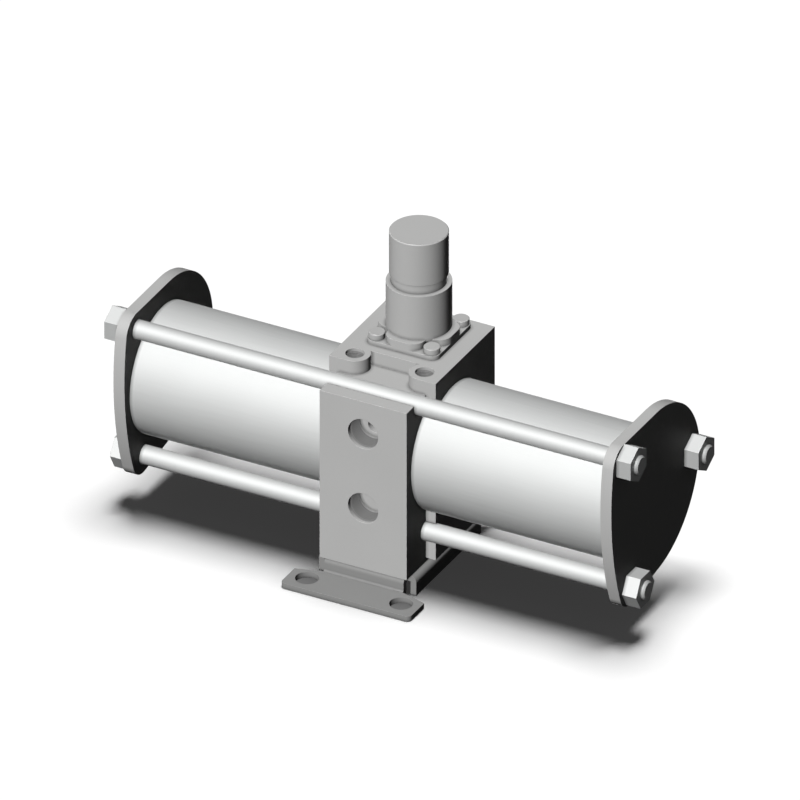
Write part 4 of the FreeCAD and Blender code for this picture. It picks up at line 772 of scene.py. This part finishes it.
def build_floor(mirrored, shadow_depth, hole_shade):
    """A white floor that keeps the shadow and gives the booster little light back."""
    bpy.ops.object.select_all(action="DESELECT")
    bpy.ops.mesh.primitive_plane_add(size=FLOOR_SIZE)
    floor = bpy.context.object
    floor.name = "studio_floor"
    material, tree, shader = start_material("studio_floor")
    tree.nodes.remove(shader)
    seen = seen_brightness(tree, mirrored)
    pale, dull = (tree.nodes.new("ShaderNodeBsdfDiffuse") for _ in range(2))
    dull.inputs["Color"].default_value = DULL_FLOOR
    mix = tree.nodes.new("ShaderNodeMixShader")
    glow = tree.nodes.new("ShaderNodeEmission")
    both = tree.nodes.new("ShaderNodeAddShader")
    for source, target in (
        (floor_brightness(tree, hole_shade), pale.inputs["Color"]),
        (seen, mix.inputs["Fac"]),
        (dull.outputs["BSDF"], mix.inputs[1]),
        (pale.outputs["BSDF"], mix.inputs[2]),
        (math_node(tree, "MULTIPLY", seen, shadow_depth), glow.inputs["Strength"]),
        (mix.outputs["Shader"], both.inputs[0]),
        (glow.outputs["Emission"], both.inputs[1]),
        (both.outputs["Shader"], tree.nodes["Material Output"].inputs["Surface"]),
    ):
        tree.links.new(source, target)
    floor.data.materials.append(material)
    return floor


def build_world(surroundings, mirrored):
    """White to the camera, dim in reflections, and nearly dark as a light."""
    world = bpy.data.worlds.new("studio_world")
    world.use_nodes = True
    bpy.context.scene.world = world
    tree = world.node_tree
    background = tree.nodes["Background"]
    background.inputs["Color"].default_value = (1, 1, 1, 1)
    brightness = math_node(tree, "MAXIMUM", seen_brightness(tree, mirrored), surroundings)
    tree.links.new(brightness, background.inputs["Strength"])


def build_sun(name, strength, angle, side, casts_shadow):
    """A sun that shines from the given side."""
    bpy.ops.object.light_add(type="SUN")
    sun = bpy.context.object
    sun.name = name
    aim(sun, Vector(side), Vector(side).normalized() * LIGHT_DISTANCE)
    sun.data.energy = strength
    sun.data.angle = angle
    sun.data.use_shadow = casts_shadow
    return sun


def link_light(sun, thing, state):
    """Keeps a lamp to one thing, or off it."""
    receivers = bpy.data.collections.new(sun.name + "_receivers")
    receivers.objects.link(thing)
    sun.light_linking.receiver_collection = receivers
    receivers.collection_objects[0].light_linking.link_state = state


def build_camera(studio):
    """The camera that sees the booster as the photo does."""
    bpy.ops.object.camera_add()
    camera = bpy.context.object
    camera.name = "studio_camera"
    camera.data.type = "ORTHO"
    camera.data.ortho_scale = studio.view_width
    level = math.cos(studio.elevation)
    away = Vector((
        math.sin(studio.azimuth) * level, -math.cos(studio.azimuth) * level, math.sin(studio.elevation),
    ))
    aim(camera, away, Vector((0, 0, studio.view_height)) + away * CAMERA_DISTANCE)
    bpy.context.scene.camera = camera


class BOOSTER_OT_build_studio(bpy.types.Operator):
    """Set up the floor, the lights and the camera"""

    bl_idname = "booster.build_studio"
    bl_label = "Build studio"

    def execute(self, context):
        studio = context.scene.booster_studio
        floor = build_floor(studio.mirrored, studio.shadow_depth, studio.hole_shade)
        build_world(studio.surroundings, studio.mirrored)
        front = build_sun("front_light", studio.front_strength, FRONT_LIGHT_ANGLE, FRONT_LIGHT_SIDE, False)
        rear = build_sun("rear_light", studio.rear_strength, REAR_LIGHT_ANGLE, REAR_LIGHT_SIDE, False)
        overhead = build_sun("floor_light", studio.floor_strength, studio.shadow_softness, FLOOR_LIGHT_SIDE, True)
        link_light(front, floor, "EXCLUDE")
        link_light(rear, floor, "EXCLUDE")
        link_light(overhead, floor, "INCLUDE")
        build_camera(studio)
        context.scene.view_settings.view_transform = "Standard"
        # Light that bounced off the pieces would lift the dark sides, which stay dark in the photo
        context.scene.cycles.diffuse_bounces = 0
        return {"FINISHED"}


class BOOSTER_PT_sidebar(bpy.types.Panel):
    """The booster's tools in the sidebar"""

    bl_label = "Air Pressure Booster"
    bl_idname = "BOOSTER_PT_sidebar"
    bl_space_type = "VIEW_3D"
    bl_region_type = "UI"
    bl_category = "Booster"

    def draw(self, context):
        layout = self.layout
        for operator in OPERATORS:
            layout.operator(operator.bl_idname)
        for name in SETTINGS:
            owner = getattr(context.scene, name)
            box = layout.box()
            for setting in owner.__annotations__:
                box.prop(owner, setting)


SETTINGS = {
    "booster_colours": BoosterColours,
    "booster_surfaces": BoosterSurfaces,
    "booster_threads": BoosterThreads,
    "booster_springs": BoosterSprings,
    "booster_studio": BoosterStudio,
}
OPERATORS = (
    BOOSTER_OT_finish_castings,
    BOOSTER_OT_finish_metalwork,
    BOOSTER_OT_finish_workings,
    BOOSTER_OT_thread_ports,
    BOOSTER_OT_wind_springs,
    BOOSTER_OT_build_studio,
)
CLASSES = (*SETTINGS.values(), *OPERATORS, BOOSTER_PT_sidebar)


def register():
    for cls in CLASSES:
        bpy.utils.register_class(cls)
    for name, cls in SETTINGS.items():
        setattr(bpy.types.Scene, name, PointerProperty(type=cls))


def unregister():
    for name in SETTINGS:
        delattr(bpy.types.Scene, name)
    for cls in reversed(CLASSES):
        bpy.utils.unregister_class(cls)


def main():
    register()
    bpy.ops.booster.finish_castings()
    bpy.ops.booster.finish_metalwork()
    bpy.ops.booster.finish_workings()
    bpy.ops.booster.thread_ports()
    bpy.ops.booster.wind_springs()
    bpy.ops.booster.build_studio()


if __name__ == "__main__":
    main()
